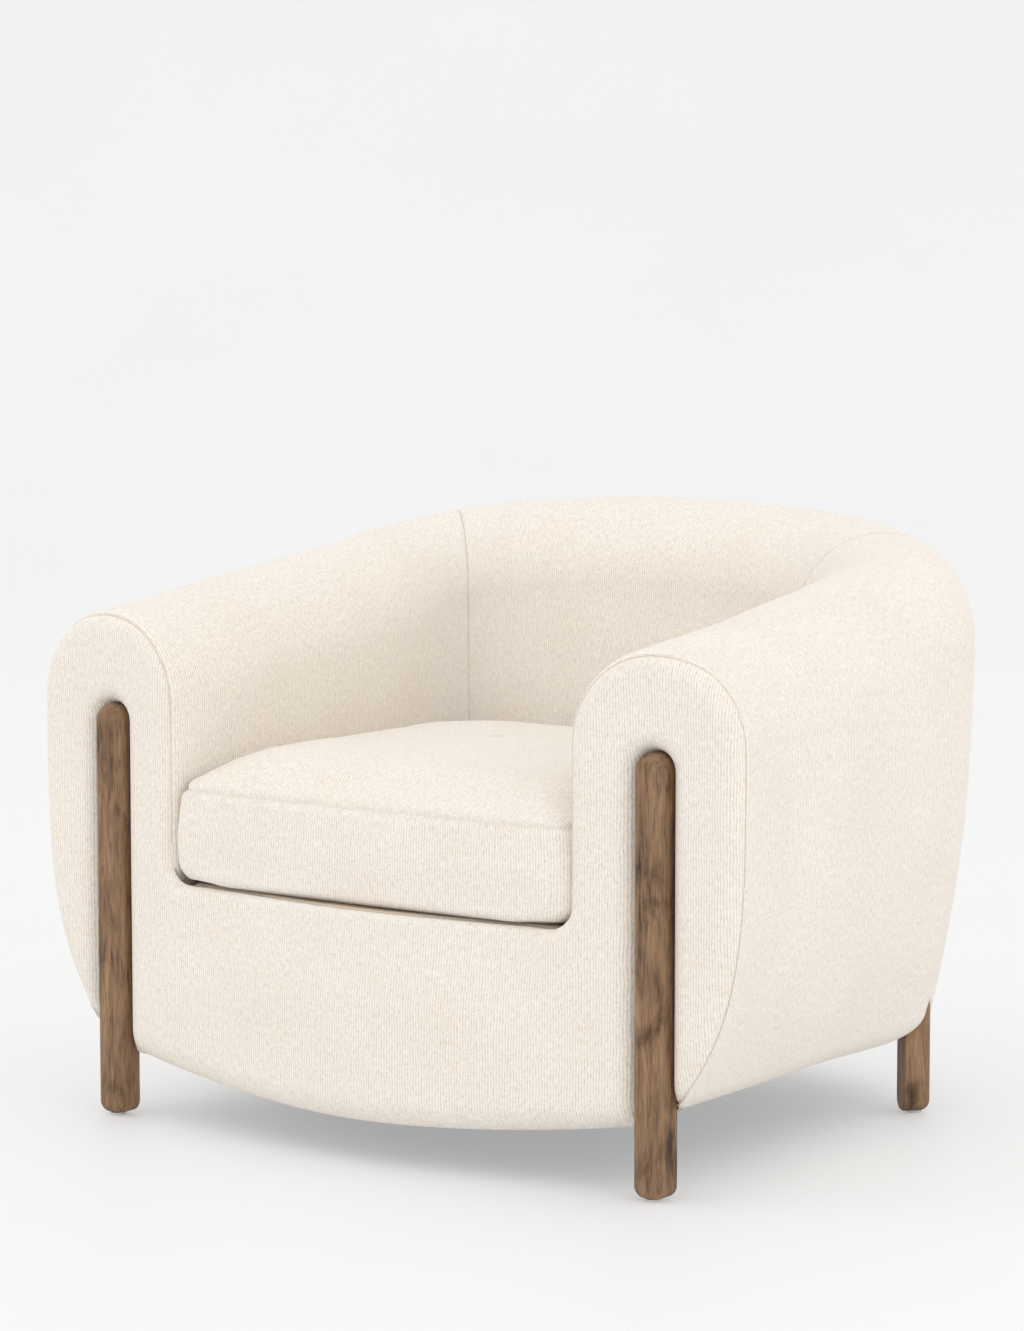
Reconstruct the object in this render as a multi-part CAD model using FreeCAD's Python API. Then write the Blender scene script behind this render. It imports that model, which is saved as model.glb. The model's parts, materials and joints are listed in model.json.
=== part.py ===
import FreeCAD, Part
import math
import os
from FreeCAD import Vector

# Tub armchair with four round-ended timber legs let into the upholstery and one loose
# seat cushion. Millimetres, +Z up, floor at z = 0, the chair faces -Y.
# The origin is on the floor under the middle of the chair.

os.makedirs("parts", exist_ok=True)

# ---- driving dimensions -------------------------------------------------------------
overall_width = 976.0
overall_depth = 828.0
back_height = 707.0          # top of the roll at the middle of the back
arm_height = 600.0           # top of the roll at the front of an arm
arm_rise = 0.118             # slope of the arm's top line
arm_straight = 430.0         # length of the arm's straight top line
back_rise = 0.16             # slope of the top line where the back's curve begins
arm_thickness = 212.0
back_thickness = 200.0
front_bow = 46.0             # how far the front's middle stands ahead of the legs' place

side_turn = 4.5              # degrees the side turns in before the rear corner
side_radius = 4770.0
corner_radius = 292.0        # outside of the rear corner
corner_end = 73.65           # degrees at which the corner runs into the back's curve
seam_angle = 48.0            # degrees round the corner where arm and back covers meet

taper_front = 94.0           # how far the outside tucks in, from its widest to its foot
taper_back = 32.0
taper_power_front = 3.7
taper_power_back = 1.36
hem_height = 84.0            # underside of the upholstery at sides and back
front_hem_height = 60.0      # underside of the upholstery at the middle of the front
under_curve = 58.0           # how far the covers curl in under the body
back_lean = 0.30             # lean of the inside back, per unit of height
lean_start = 60.0            # length over which the lean comes in
lean_foot_round = 40.0       # eases the lean off at the top of the seat

leg_width = 40.0
leg_depth = 32.0
leg_inset = 109.0            # from the body's side to a front leg's centre
front_leg_top = 490.0
rear_leg_top = 250.0
rear_leg_out = 202.8         # a rear leg's centre beside the rear corner's centre
rear_leg_behind = 103.2      # and behind it
rear_leg_turn = 45.0
leg_edge_round = 12.0
leg_foot_round = 14.0
leg_proud = 4.0              # how far a front leg stands ahead of the fabric beside it
glide_radius = 9.0
glide_thickness = 3.0
glide_pin_radius = 1.25
glide_pin_length = 16.0

cover_thickness = 2.4        # woven cover with its lining
pad_thickness = 39.0         # foam between cover and frame
board = 24.0                 # thickness of the frame's boards
rail_bottom = 97.0
seat_build = 56.0            # from the top of the rails to the top of the deck
top_rail_thickness = 22.0
top_rail_spread = 40.0       # degrees each side of the roll's top that the top rail fills
rear_post_size = 44.0
upright_width = 50.0
upright_spacing = 170.0
upright_lean = 100.0         # how far a back upright leans from the seat rail to the top rail
block_size = 70.0            # legs of a corner block's triangle
block_inset = 20.0           # between a block and the rails' top and underside
arm_upright_thickness = 20.0

bolt_radius = 3.0
bolt_head_radius = 7.0
bolt_head = 4.0
insert_radius = 5.5
insert_length = 14.0
front_bolt_heights = (190.0, 400.0)
rear_bolt_heights = (135.0, 205.0)

deck_height = 288.0          # top of the deck under the cushion
deck_cover_thickness = 1.6
insulator_thickness = 2.2
spring_count = 6
spring_wire = 3.8
spring_width = 46.0
spring_pitch = 34.0
spring_edge = 50.0           # from the seat's side to the outer spring
dust_thickness = 0.8
tie_wire = 2.4

cushion_side = 110.0         # height of the cushion's boxing
cushion_crown = 30.0
cushion_cover = 1.6
cushion_wrap = 11.0
cushion_front_radius = 34.0
cushion_rear_radius = 125.0
cushion_front_bow = 12.0
cushion_setback = 46.0       # from the body's front to the cushion's front corners
cushion_rear_narrowing = 16.0

zip_length = 250.0
tooth_pitch = 5.0
tooth_width = 3.2
slider_plate = 1.4
lug_width = 1.2
zip_tape_width = 24.0
zip_tape_thickness = 1.0
zip_chain_width = 6.0
zip_chain_thickness = 1.6
slider_length = 11.0
slider_width = 8.0
slider_height = 4.2
pull_length = 11.0
pull_width = 6.0
pull_thickness = 1.4
pull_pin_radius = 0.8

# ---- named clearances ----------------------------------------------------------------
layer_gap = 0.6              # between a cover and the pad, or a pad and the frame
seam_gap = 0.6               # between two covers at a seam
deck_gap = 5.5               # between the deck and the covers round it
joint_gap = 0.3              # between an upright's shaped end and the top rail
leg_slot_gap = 0.4           # round a leg in the upholstery
seat_gap = 2.0               # between the cushion and the inside of the arms
back_gap = 26.4              # between the cushion and the foot of the inside back
touch_gap = 0.2              # between two flat faces that rest on each other
pin_gap = 0.1                # round a pin in its hole

# ---- the wall's plan line --------------------------------------------------------------
half_width = overall_width / 2
leg_spacing = overall_width - 2 * leg_inset
rail_top = deck_height - seat_build
front_y = -overall_depth / 2
leg_front = front_y + front_bow - leg_proud
leg_back = leg_front + leg_depth
wall_start = leg_back + touch_gap

turn_1 = math.radians(side_turn)
turn_2 = math.radians(corner_end)
seam_turn = math.radians(seam_angle)
corner_start_x = half_width - side_radius * (1 - math.cos(turn_1))
corner_end_x = corner_start_x - corner_radius * (math.cos(turn_1) - math.cos(turn_2))
back_radius = corner_end_x / math.cos(turn_2)
turned_depth = (side_radius * math.sin(turn_1)
                + corner_radius * (math.sin(turn_2) - math.sin(turn_1))
                + back_radius * (1 - math.sin(turn_2)))
side_straight = overall_depth / 2 - wall_start - turned_depth


def plan_segments():
    """Stretches of the right half's outer plan line: start, length, radius, turn, x, y."""
    length = 0.0
    rows = [(length, side_straight, None, 0.0, half_width, wall_start)]
    length += side_straight
    x, y = half_width, wall_start + side_straight
    for radius, begin, finish in ((side_radius, 0.0, turn_1), (corner_radius, turn_1, turn_2),
                                  (back_radius, turn_2, math.pi / 2)):
        centre_x = x - radius * math.cos(begin)
        centre_y = y - radius * math.sin(begin)
        rows.append((length, radius * (finish - begin), radius, begin, centre_x, centre_y))
        length += radius * (finish - begin)
        x = centre_x + radius * math.cos(finish)
        y = centre_y + radius * math.sin(finish)
    return rows, length


segments, half_length = plan_segments()
corner_row = segments[2]
rear_leg_x = corner_row[4] + rear_leg_out
rear_leg_y = corner_row[5] + rear_leg_behind
seam_station = corner_row[0] + corner_radius * (seam_turn - turn_1)


def plan_point(station):
    """Point on the outer plan line and its outward direction, front right to front left."""
    mirrored = station > half_length
    along = 2 * half_length - station if mirrored else station
    row = [r for r in segments if r[0] <= along + 1e-9][-1]
    start, _, radius, begin, centre_x, centre_y = row
    if radius is None:
        x, y, turn = centre_x, centre_y + along - start, 0.0
    else:
        turn = begin + (along - start) / radius
        x = centre_x + radius * math.cos(turn)
        y = centre_y + radius * math.sin(turn)
    if mirrored:
        x, turn = -x, math.pi - turn
    return x, y, turn


def smooth(low, high, value):
    t = min(1.0, max(0.0, (value - low) / (high - low)))
    return t * t * (3 - 2 * t)


def top_line(along):
    """Height of the roll's top, a straight rise along the arm and a cubic round the back."""
    if along <= arm_straight:
        return arm_height + arm_rise * along
    span = half_length - arm_straight
    t = (along - arm_straight) / span
    start = arm_height + arm_rise * arm_straight
    return ((2 * t**3 - 3 * t**2 + 1) * start + (t**3 - 2 * t**2 + t) * back_rise * span
            + (3 * t**2 - 2 * t**3) * back_height)


def wall_point(station, leg, t, inset=0.0):
    """Point (outward offset, height) of the wall's section.

    leg is under, side, roll or inner, t runs 0 to 1 along it, inset is measured square to
    the surface into the wall."""
    along = min(station, 2 * half_length - station)
    share = smooth(0.25, 0.75, along / half_length)
    thick = arm_thickness + (back_thickness - arm_thickness) * share
    taper = taper_front + (taper_back - taper_front) * share
    power = taper_power_front + (taper_power_back - taper_power_front) * share
    lean = back_lean * smooth(0.35, 0.75, along / half_length)
    middle = top_line(along) - thick / 2
    curl = 0.6 * under_curve
    side_foot = hem_height + curl

    def tuck(height):
        return -taper * ((middle - height) / (middle - hem_height))**power

    def inner_offset(height):
        seat_top = deck_height + cushion_side + cushion_crown
        above = height - seat_top
        drop = middle - seat_top - (above + math.hypot(above, lean_foot_round)) / 2
        drop = max(0.0, drop)
        return -thick - lean * drop * drop / (drop + lean_start)

    def raw(u):
        if leg == "under":
            a = math.pi / 2 * (1 - u)
            height = side_foot - curl * math.sin(a)
            return tuck(height) - 0.9 * under_curve * (1 - math.cos(a)), height
        if leg == "side":
            height = side_foot + (middle - side_foot) * u
            return tuck(height), height
        if leg == "roll":
            a = math.pi * u
            return -thick / 2 + thick / 2 * math.cos(a), middle + thick / 2 * math.sin(a)
        height = middle + (inner_foot - middle) * u
        return inner_offset(height), height

    step = 0.001
    n, z = raw(t)
    low, high = max(0.0, t - step), min(1.0, t + step)
    n_low, z_low = raw(low)
    n_high, z_high = raw(high)
    run = math.hypot(n_high - n_low, z_high - z_low)
    # walking bottom, outside, top, inside, the wall lies on the left
    return (n - inset * (z_high - z_low) / run, z + inset * (n_high - n_low) / run)


inner_foot = rail_top + 8.0


def place(station, offset, height):
    x, y, turn = plan_point(station)
    return Vector(x + offset * math.cos(turn), y + offset * math.sin(turn), height)


# ---- helpers for solids ----------------------------------------------------------------
def grid_face(rows):
    surface = Part.BSplineSurface()
    surface.interpolate(rows)
    return surface.toShape()


def outward(solid):
    """The same solid with its faces looking outwards."""
    if solid.Volume < 0:
        solid.reverse()
    return solid


def layer(outer, inner):
    """Closed solid between two point grids of the same size, each row in one plane."""
    a, b = grid_face(outer), grid_face(inner)
    faces = [a, b]
    for row, k in ((0, 0), (-1, 1)):
        edges = [matching_edge(a, outer, k), matching_edge(b, inner, k),
                 Part.makeLine(outer[row][0], inner[row][0]),
                 Part.makeLine(outer[row][-1], inner[row][-1])]
        faces.append(Part.Face(Part.Wire(Part.sortEdges(edges)[0])))
    for k in (2, 3):
        faces.append(Part.makeRuledSurface(matching_edge(a, outer, k),
                                           matching_edge(b, inner, k)))
    shell = Part.makeShell(faces)
    shell.sewShape()
    return outward(Part.makeSolid(Part.Shell(shell.Faces)))


def matching_edge(face, rows, k):
    """Edge k of a grid face: first row, last row, first column, last column."""
    ends = ((rows[0][0], rows[0][-1]), (rows[-1][0], rows[-1][-1]),
            (rows[0][0], rows[-1][0]), (rows[0][-1], rows[-1][-1]))[k]
    for edge in face.Edges:
        first, last = edge.Vertexes[0].Point, edge.Vertexes[-1].Point
        if first.distanceToPoint(ends[0]) < 1e-4 and last.distanceToPoint(ends[1]) < 1e-4:
            return edge
        if first.distanceToPoint(ends[1]) < 1e-4 and last.distanceToPoint(ends[0]) < 1e-4:
            return edge
    raise ValueError("no matching edge")


def spread(low, high, count):
    return [low + (high - low) * k / (count - 1) for k in range(count)]


def wall_grid(stations, legs, inset):
    """Point grid on the wall: legs is a list of (leg, first t, last t, count)."""
    rows = []
    for station in stations:
        row = []
        for leg, first, last, count in legs:
            for t in spread(first, last, count)[(1 if row else 0):]:
                row.append(place(station, *wall_point(station, leg, t, inset)))
        rows.append(row)
    return rows


def prism(wire, low, high):
    shape = outward(Part.Face(wire).extrude(Vector(0, 0, high - low)))
    shape.translate(Vector(0, 0, low))
    return shape


def box(x0, x1, y0, y1, z0, z1):
    return Part.makeBox(x1 - x0, y1 - y0, z1 - z0, Vector(x0, y0, z0))


def mirror(shape):
    return shape.mirror(Vector(0, 0, 0), Vector(1, 0, 0))


def save(name, shape):
    solids = shape.Solids
    bad = [s for s in solids if not s.isValid() or s.Volume <= 0]
    print("%-26s solids %2d volume %12.0f %s" % (name, len(solids), shape.Volume,
                                                 "BAD" if bad or not solids else ""))
    out = solids[0] if len(solids) == 1 else Part.makeCompound(solids)
    out.exportStep("parts/" + name + ".step")


def save_pair(name, right_shape):
    save(name + "_right", right_shape)
    save(name + "_left", mirror(right_shape))


# ---- legs and glides -------------------------------------------------------------------
def leg_outline(width, bottom, top, foot_round):
    """Outline in the XZ plane, round at the top and eased at the foot."""
    h, r = width / 2, foot_round
    p = [Vector(-h, 0, bottom + r), Vector(-h, 0, top - h), Vector(0, 0, top),
         Vector(h, 0, top - h), Vector(h, 0, bottom + r), Vector(h - r, 0, bottom),
         Vector(r - h, 0, bottom)]
    k = r * (1 - math.sqrt(0.5))
    edges = [Part.makeLine(p[0], p[1]), Part.Arc(p[1], p[2], p[3]).toShape(),
             Part.makeLine(p[3], p[4]),
             Part.Arc(p[4], Vector(h - k, 0, bottom + k), p[5]).toShape(),
             Part.makeLine(p[5], p[6]),
             Part.Arc(p[6], Vector(k - h, 0, bottom + k), p[0]).toShape()]
    return Part.Wire(edges)


def make_leg(top):
    """Leg with its rounded face at -Y and its flat face at +Y, centred on the Z axis."""
    face = Part.Face(leg_outline(leg_width, glide_thickness, top, leg_foot_round))
    solid = face.extrude(Vector(0, leg_depth, 0))
    solid.translate(Vector(0, -leg_depth / 2, 0))
    front = [e for e in solid.Edges
             if all(abs(v.Point.y + leg_depth / 2) < 1e-6 for v in e.Vertexes)]
    solid = solid.makeFillet(leg_edge_round, front)
    hole = Part.makeCylinder(glide_pin_radius + pin_gap, glide_pin_length + 1.0,
                             Vector(0, 0, glide_thickness))
    return solid.cut(hole)


def make_slot(top):
    """Room for a leg in the upholstery, open at the foot."""
    width = leg_width + 2 * leg_slot_gap
    face = Part.Face(leg_outline(width, -60.0, top + leg_slot_gap, leg_foot_round))
    solid = face.extrude(Vector(0, leg_depth + leg_slot_gap + 60.0, 0))
    solid.translate(Vector(0, -leg_depth / 2 - 60.0, 0))
    return solid


def make_glide():
    pad = Part.makeCylinder(glide_radius, glide_thickness)
    pin = Part.makeCylinder(glide_pin_radius, glide_thickness + glide_pin_length)
    return pad.fuse(pin).removeSplitter()


def at_front_leg(shape):
    moved = shape.copy()
    moved.translate(Vector(leg_spacing / 2, leg_front + leg_depth / 2, 0))
    return moved


def at_rear_leg(shape):
    moved = shape.copy()
    moved.rotate(Vector(0, 0, 0), Vector(0, 0, 1), 90.0 + rear_leg_turn)
    moved.translate(Vector(rear_leg_x, rear_leg_y, 0))
    return moved


# ---- frame -----------------------------------------------------------------------------
frame_inset = cover_thickness + pad_thickness + 2 * layer_gap
arm_stations = spread(0.0, seam_station - seam_gap / 2, 13)
back_stations = spread(seam_station + seam_gap / 2,
                       2 * half_length - seam_station - seam_gap / 2, 15)
whole_wall = [("side", 0.0, 1.0, 12), ("roll", 0.0, 1.0, 13), ("inner", 0.0, 1.0, 11)]


def wall_core(stations):
    """Room inside the pads, from the foot of the outside to the foot of the inside."""
    outer = wall_grid(stations, whole_wall, frame_inset)
    inner = []
    for row in outer:
        first, last = row[0], row[-1]
        foot_a = Vector(first.x, first.y, rail_bottom)
        foot_b = Vector(last.x, last.y, rail_bottom)
        steps = len(row) - 1
        inner.append([foot_a + (foot_b - foot_a) * (k / steps) for k in range(len(row))])
    return layer(outer, inner)


def make_top_rail(stations):
    first = 0.5 - top_rail_spread / 180
    legs = [("roll", first, 1 - first, 7)]
    upper = wall_grid(stations, legs, frame_inset + joint_gap)
    lower = [[p - Vector(0, 0, top_rail_thickness) for p in row] for row in upper]
    return layer(upper, lower)


arm_core = wall_core(arm_stations)
back_core = wall_core(back_stations)
arm_top_rail = make_top_rail(spread(board + touch_gap, seam_station - seam_gap / 2, 11))
back_top_rail = make_top_rail(back_stations)


def lowered(shape):
    moved = shape.copy()
    moved.translate(Vector(0, 0, -joint_gap))
    return moved


post_back = wall_start + board
arm_post = arm_core.common(box(0, half_width, wall_start, post_back, rail_bottom, back_height))

rear_post = Part.makeBox(rear_post_size, rear_post_size, back_height - rail_bottom,
                         Vector(-rear_post_size / 2, 0, rail_bottom))
rear_post.translate(Vector(0, leg_depth / 2 + touch_gap, 0))
rear_post = at_rear_leg(rear_post)
rear_post = rear_post.common(arm_core).cut(lowered(arm_top_rail))
rear_post = max(rear_post.Solids, key=lambda s: s.Volume)

deck_half = half_width - arm_thickness
side_rail_x = deck_half + pad_thickness + cover_thickness + 3 * layer_gap
post_lean = math.radians(rear_leg_turn)
post_centre_y = rear_leg_y - (leg_depth + rear_post_size) / 2 * math.sin(post_lean)
side_rail = box(side_rail_x, side_rail_x + board, post_back + touch_gap, post_centre_y,
                rail_bottom, rail_top).cut(rear_post)
side_rail = max(side_rail.Solids, key=lambda s: s.Volume)
front_rail = box(-leg_spacing / 2, leg_spacing / 2, wall_start, post_back, rail_bottom, rail_top)
front_rail = front_rail.cut(arm_post).cut(mirror(arm_post))
front_rail = max(front_rail.Solids, key=lambda s: s.Volume)
back_rail_y = post_centre_y
back_rail = box(-rear_leg_x, rear_leg_x, back_rail_y, back_rail_y + board, rail_bottom, rail_top)
back_rail = back_rail.cut(rear_post).cut(mirror(rear_post)).cut(side_rail).cut(mirror(side_rail))
back_rail = max(back_rail.Solids, key=lambda s: abs(s.BoundBox.XLength))

upright_x = side_rail_x + board
arm_upright = box(upright_x, upright_x + arm_upright_thickness, -upright_width, 0.0,
                  rail_bottom, back_height).common(arm_core).cut(lowered(arm_top_rail))
arm_upright = max(arm_upright.Solids, key=lambda s: s.Volume)

uprights = []
for x in (-upright_spacing, 0.0, upright_spacing):
    y = back_rail_y + board + touch_gap
    top = back_height - frame_inset
    outline = Part.makePolygon([Vector(x, y, rail_bottom), Vector(x, y + board, rail_bottom),
                                Vector(x, y + board + upright_lean, top),
                                Vector(x, y + upright_lean, top), Vector(x, y, rail_bottom)])
    post = Part.Face(outline).extrude(Vector(upright_width, 0, 0))
    post.translate(Vector(-upright_width / 2, 0, 0))
    post = post.cut(lowered(back_top_rail)).cut(back_rail)
    uprights.append(max(post.Solids, key=lambda s: s.Volume))


def corner_block(x, y, turn_x, turn_y):
    outline = Part.makePolygon([Vector(x, y, 0), Vector(x + turn_x * block_size, y, 0),
                                Vector(x, y + turn_y * block_size, 0), Vector(x, y, 0)])
    return prism(outline, rail_bottom + block_inset, rail_top - block_inset)


block_x = side_rail_x - touch_gap
blocks = [corner_block(block_x, post_back + touch_gap, -1, 1),
          corner_block(block_x, back_rail_y - touch_gap, -1, -1)]
blocks += [mirror(b) for b in blocks]

# ---- front pad and cover -----------------------------------------------------------------
bow_radius = ((leg_spacing / 2)**2 + front_bow**2) / (2 * front_bow)


def bow_drum(radius_less):
    """Everything behind the bowed front, radius_less further back than the fabric."""
    drum = Part.makeCylinder(bow_radius - radius_less, 2 * back_height,
                             Vector(0, front_y + bow_radius, -back_height / 2))
    return drum.common(box(-half_width, half_width, front_y - 10, leg_back, -10, back_height))


def front_outline(inset):
    """U-shaped outline in the XZ plane: two arm fronts joined by the rail."""
    right = []
    for leg, first, last, count in (("under", 0.0, 1.0, 5), ("side", 0.0, 1.0, 9)):
        for t in spread(first, last, count)[(1 if right else 0):]:
            n, z = wall_point(0.0, leg, t, inset)
            right.append(Vector(half_width + n, 0, z))
    roll = [right[-1]]
    for t in (0.5, 1.0):
        n, z = wall_point(0.0, "roll", t, inset)
        roll.append(Vector(half_width + n, 0, z))
    roll[-1].z = roll[0].z
    inner_x = roll[-1].x
    rail_z = deck_height - cover_thickness - inset
    corner = seat_gap
    k = corner * (1 - math.sqrt(0.5))
    side = Part.BSplineCurve()
    side.interpolate(right)
    down = Vector(inner_x, 0, rail_z + corner)
    end = Vector(inner_x - corner, 0, rail_z)
    half = [side.toShape(), Part.Arc(*roll).toShape(), Part.makeLine(roll[-1], down),
            Part.Arc(down, Vector(inner_x - k, 0, rail_z + k), end).toShape()]
    other = [mirror(e) for e in half]
    foot = right[0]
    middle = Vector(0, 0, front_hem_height + inset)
    level = Part.makeLine(end, Vector(-end.x, 0, end.z))
    belly = Part.Arc(foot, middle, Vector(-foot.x, 0, foot.z)).toShape()
    edges = Part.sortEdges(half + other + [level, belly])[0]
    return Part.Wire(edges)


def front_block(inset):
    face = Part.Face(front_outline(inset))
    block = outward(face.extrude(Vector(0, overall_depth, 0)))
    block.translate(Vector(0, -overall_depth, 0))
    return block


front_slots = at_front_leg(make_slot(front_leg_top))
front_slots = front_slots.fuse(mirror(front_slots))
front_cover = front_block(0.0).common(bow_drum(0.0).cut(bow_drum(cover_thickness)))
front_cover = front_cover.cut(front_slots)
front_pad = front_block(layer_gap).common(bow_drum(cover_thickness + layer_gap))
front_pad = front_pad.cut(front_slots)

# ---- arm and back pads and covers ----------------------------------------------------------
cover_legs = [("under", 0.0, 1.0, 5)] + whole_wall
rear_slot = at_rear_leg(make_slot(rear_leg_top))


def make_cover(stations):
    return layer(wall_grid(stations, cover_legs, 0.0),
                 wall_grid(stations, cover_legs, cover_thickness))


def make_pad(stations):
    start = cover_thickness + layer_gap
    return layer(wall_grid(stations, whole_wall, start),
                 wall_grid(stations, whole_wall, start + pad_thickness))


leg_room = at_rear_leg(box(-leg_width / 2 - leg_slot_gap, leg_width / 2 + leg_slot_gap,
                           -leg_depth / 2 - leg_slot_gap, leg_depth / 2, 0,
                           rear_leg_top + leg_slot_gap))
arm_cover = make_cover(arm_stations).cut(leg_room)
arm_pad = make_pad(arm_stations).cut(leg_room)
back_cover = make_cover(back_stations)
back_pad = make_pad(back_stations)

# ---- seat: springs, deck -----------------------------------------------------------------
spring_z = rail_top + touch_gap + spring_wire / 2
spring_front = wall_start + board / 2
spring_back = back_rail_y + board / 2


def sinuous_spring(x):
    """One zigzag spring: straight bars across, joined by half-round bends."""
    bars = int((spring_back - spring_front) / spring_pitch)
    pitch = (spring_back - spring_front) / bars
    r = pitch / 2
    half = spring_width / 2 - r
    edges = []
    for k in range(bars + 1):
        y = spring_front + k * pitch
        way = 1 if k % 2 == 0 else -1
        start = Vector(x - way * half, y, spring_z)
        end = Vector(x + way * half, y, spring_z)
        edges.append(Part.makeLine(start, end))
        if k < bars:
            tip = Vector(x + way * (half + r), y + r, spring_z)
            edges.append(Part.Arc(end, tip, end + Vector(0, pitch, 0)).toShape())
    path = Part.Wire(edges)
    start = Vector(x - half, spring_front, spring_z)
    ring = Part.Wire(Part.makeCircle(spring_wire / 2, start, Vector(1, 0, 0)))
    return path.makePipeShell([ring], True, False)


spring_x = spread(-deck_half + spring_edge, deck_half - spring_edge, spring_count)
springs = [sinuous_spring(x) for x in spring_x]


def spring_clip(x, y):
    """Folded steel clip over an end bar of a spring, sitting on the rail."""
    r = spring_wire / 2 + pin_gap
    body = box(x - 7, x + 7, y - 9, y + 9, rail_top, spring_z + r + 1.5)
    bar = Part.makeCylinder(r, 40, Vector(x - 20, y, spring_z), Vector(1, 0, 0))
    below = box(x - 20, x + 20, y - r, y + r, rail_top - 1, spring_z)
    return body.cut(bar).cut(below)


clips = [spring_clip(x, y) for x in spring_x for y in (spring_front, spring_back)]
tie_z = spring_z - spring_wire / 2 - touch_gap - tie_wire / 2
tie_reach = side_rail_x - touch_gap
ties = [Part.makeCylinder(tie_wire / 2, 2 * tie_reach, Vector(-tie_reach, y, tie_z),
                          Vector(1, 0, 0))
        for y in spread(spring_front, spring_back, 4)[1:3]]


def seat_wire(gap, y_front):
    """Plan of the well between the arms, gap inside the covers, straight at the front."""
    points = []
    for station in spread(30.0, 2 * half_length - 30.0, 41):
        offset, _ = wall_point(station, "inner", 1.0)
        points.append(place(station, offset - gap, 0))
    points[0].y = y_front
    points[-1].y = y_front
    curve = Part.BSplineCurve()
    curve.interpolate(points)
    return Part.Wire([curve.toShape(), Part.makeLine(points[-1], points[0])])


insulator_low = spring_z + spring_wire / 2 + 1.5 + pin_gap + touch_gap
insulator_high = insulator_low + insulator_thickness
deck_pad_low = insulator_high + touch_gap
deck_pad_high = deck_height - deck_cover_thickness - touch_gap
deck_front = wall_start + touch_gap
insulator = prism(seat_wire(deck_gap, deck_front), insulator_low, insulator_high)
deck_pad = prism(seat_wire(deck_gap, deck_front), deck_pad_low, deck_pad_high)
deck_cover = prism(seat_wire(deck_gap, deck_front), deck_height - deck_cover_thickness,
                   deck_height)

# ---- underside ---------------------------------------------------------------------------
under_x = side_rail_x + board - 4.0
dust_low = rail_bottom - touch_gap - dust_thickness
dust_cover = box(-under_x, under_x, wall_start + 3, back_rail_y + board - 4, dust_low,
                 dust_low + dust_thickness)
dust_cover = dust_cover.cut(leg_room).cut(mirror(leg_room))

# ---- loose cushion -----------------------------------------------------------------------
cushion_low = deck_height + touch_gap
cushion_high = cushion_low + cushion_side
cushion_half = deck_half - seat_gap
cushion_front = front_y + cushion_setback
back_foot, _ = wall_point(half_length, "inner", 1.0)
cushion_back = overall_depth / 2 + back_foot - back_gap


def rounded_outline(points, radii):
    """Closed plan outline with an arc of its own radius at each corner."""
    count = len(points)
    edges = []
    ends = []
    for k in range(count):
        here = points[k]
        before = (points[k - 1] - here).normalize()
        after = (points[(k + 1) % count] - here).normalize()
        half = before.getAngle(after) / 2
        cut = radii[k] / math.tan(half)
        a, b = here + before * cut, here + after * cut
        bisector = (before + after).normalize()
        middle = here + bisector * (radii[k] / math.sin(half) - radii[k])
        edges.append(Part.Arc(a, middle, b).toShape())
        ends.append((a, b))
    for k in range(count):
        edges.append(Part.makeLine(ends[k][1], ends[(k + 1) % count][0]))
    return Part.Wire(Part.sortEdges(edges)[0])


def cushion_wire(inset):
    front, back = cushion_front + inset, cushion_back - inset
    wide = cushion_half - inset
    narrow = wide - cushion_rear_narrowing
    points = [Vector(-wide, front, 0), Vector(0, front - cushion_front_bow, 0),
              Vector(wide, front, 0), Vector(narrow, back, 0), Vector(-narrow, back, 0)]
    radii = [cushion_front_radius - inset, 900.0, cushion_front_radius - inset,
             cushion_rear_radius - inset, cushion_rear_radius - inset]
    return rounded_outline(points, radii)


def crown_block(drop):
    """Everything under the cushion's crowned top, drop below it."""
    reach_x = cushion_half + 20
    middle_y = (cushion_front + cushion_back) / 2
    reach_y = (cushion_back - cushion_front) / 2 + 30
    top = []
    flat = []
    for u in spread(-1, 1, 13):
        top_row = []
        flat_row = []
        for v in spread(-1, 1, 13):
            rise = cushion_crown * (1 - abs(u)**2.5) * (1 - abs(v)**2.5)
            x, y = u * reach_x, middle_y + v * reach_y
            top_row.append(Vector(x, y, cushion_high + rise - drop))
            flat_row.append(Vector(x, y, cushion_low - 20))
        top.append(top_row)
        flat.append(flat_row)
    return layer(top, flat)


inner_gap = 0.3
tall = cushion_high + 2 * cushion_crown
outer_prism = prism(cushion_wire(0), cushion_low + cushion_cover, tall)
skin = crown_block(0).cut(crown_block(cushion_cover))
cushion_top = outer_prism.common(skin)
cushion_bottom = prism(cushion_wire(0), cushion_low, cushion_low + cushion_cover)
boxing = prism(cushion_wire(0), cushion_low + cushion_cover, cushion_high - cushion_cover)
boxing = boxing.cut(prism(cushion_wire(cushion_cover), 0, tall))
boxing = boxing.cut(crown_block(0).cut(crown_block(cushion_cover + 0.1)))
wrap_start = cushion_cover + inner_gap
wrap_outer = prism(cushion_wire(wrap_start), cushion_low + wrap_start, tall)
wrap_outer = wrap_outer.common(crown_block(wrap_start))
core_start = wrap_start + cushion_wrap
core_room = prism(cushion_wire(core_start), cushion_low + core_start, tall)
core_room = core_room.common(crown_block(core_start))
cushion_core = prism(cushion_wire(core_start + inner_gap), cushion_low + core_start + inner_gap,
                     tall).common(crown_block(core_start + inner_gap))
cushion_wrap_layer = wrap_outer.cut(core_room)

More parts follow.
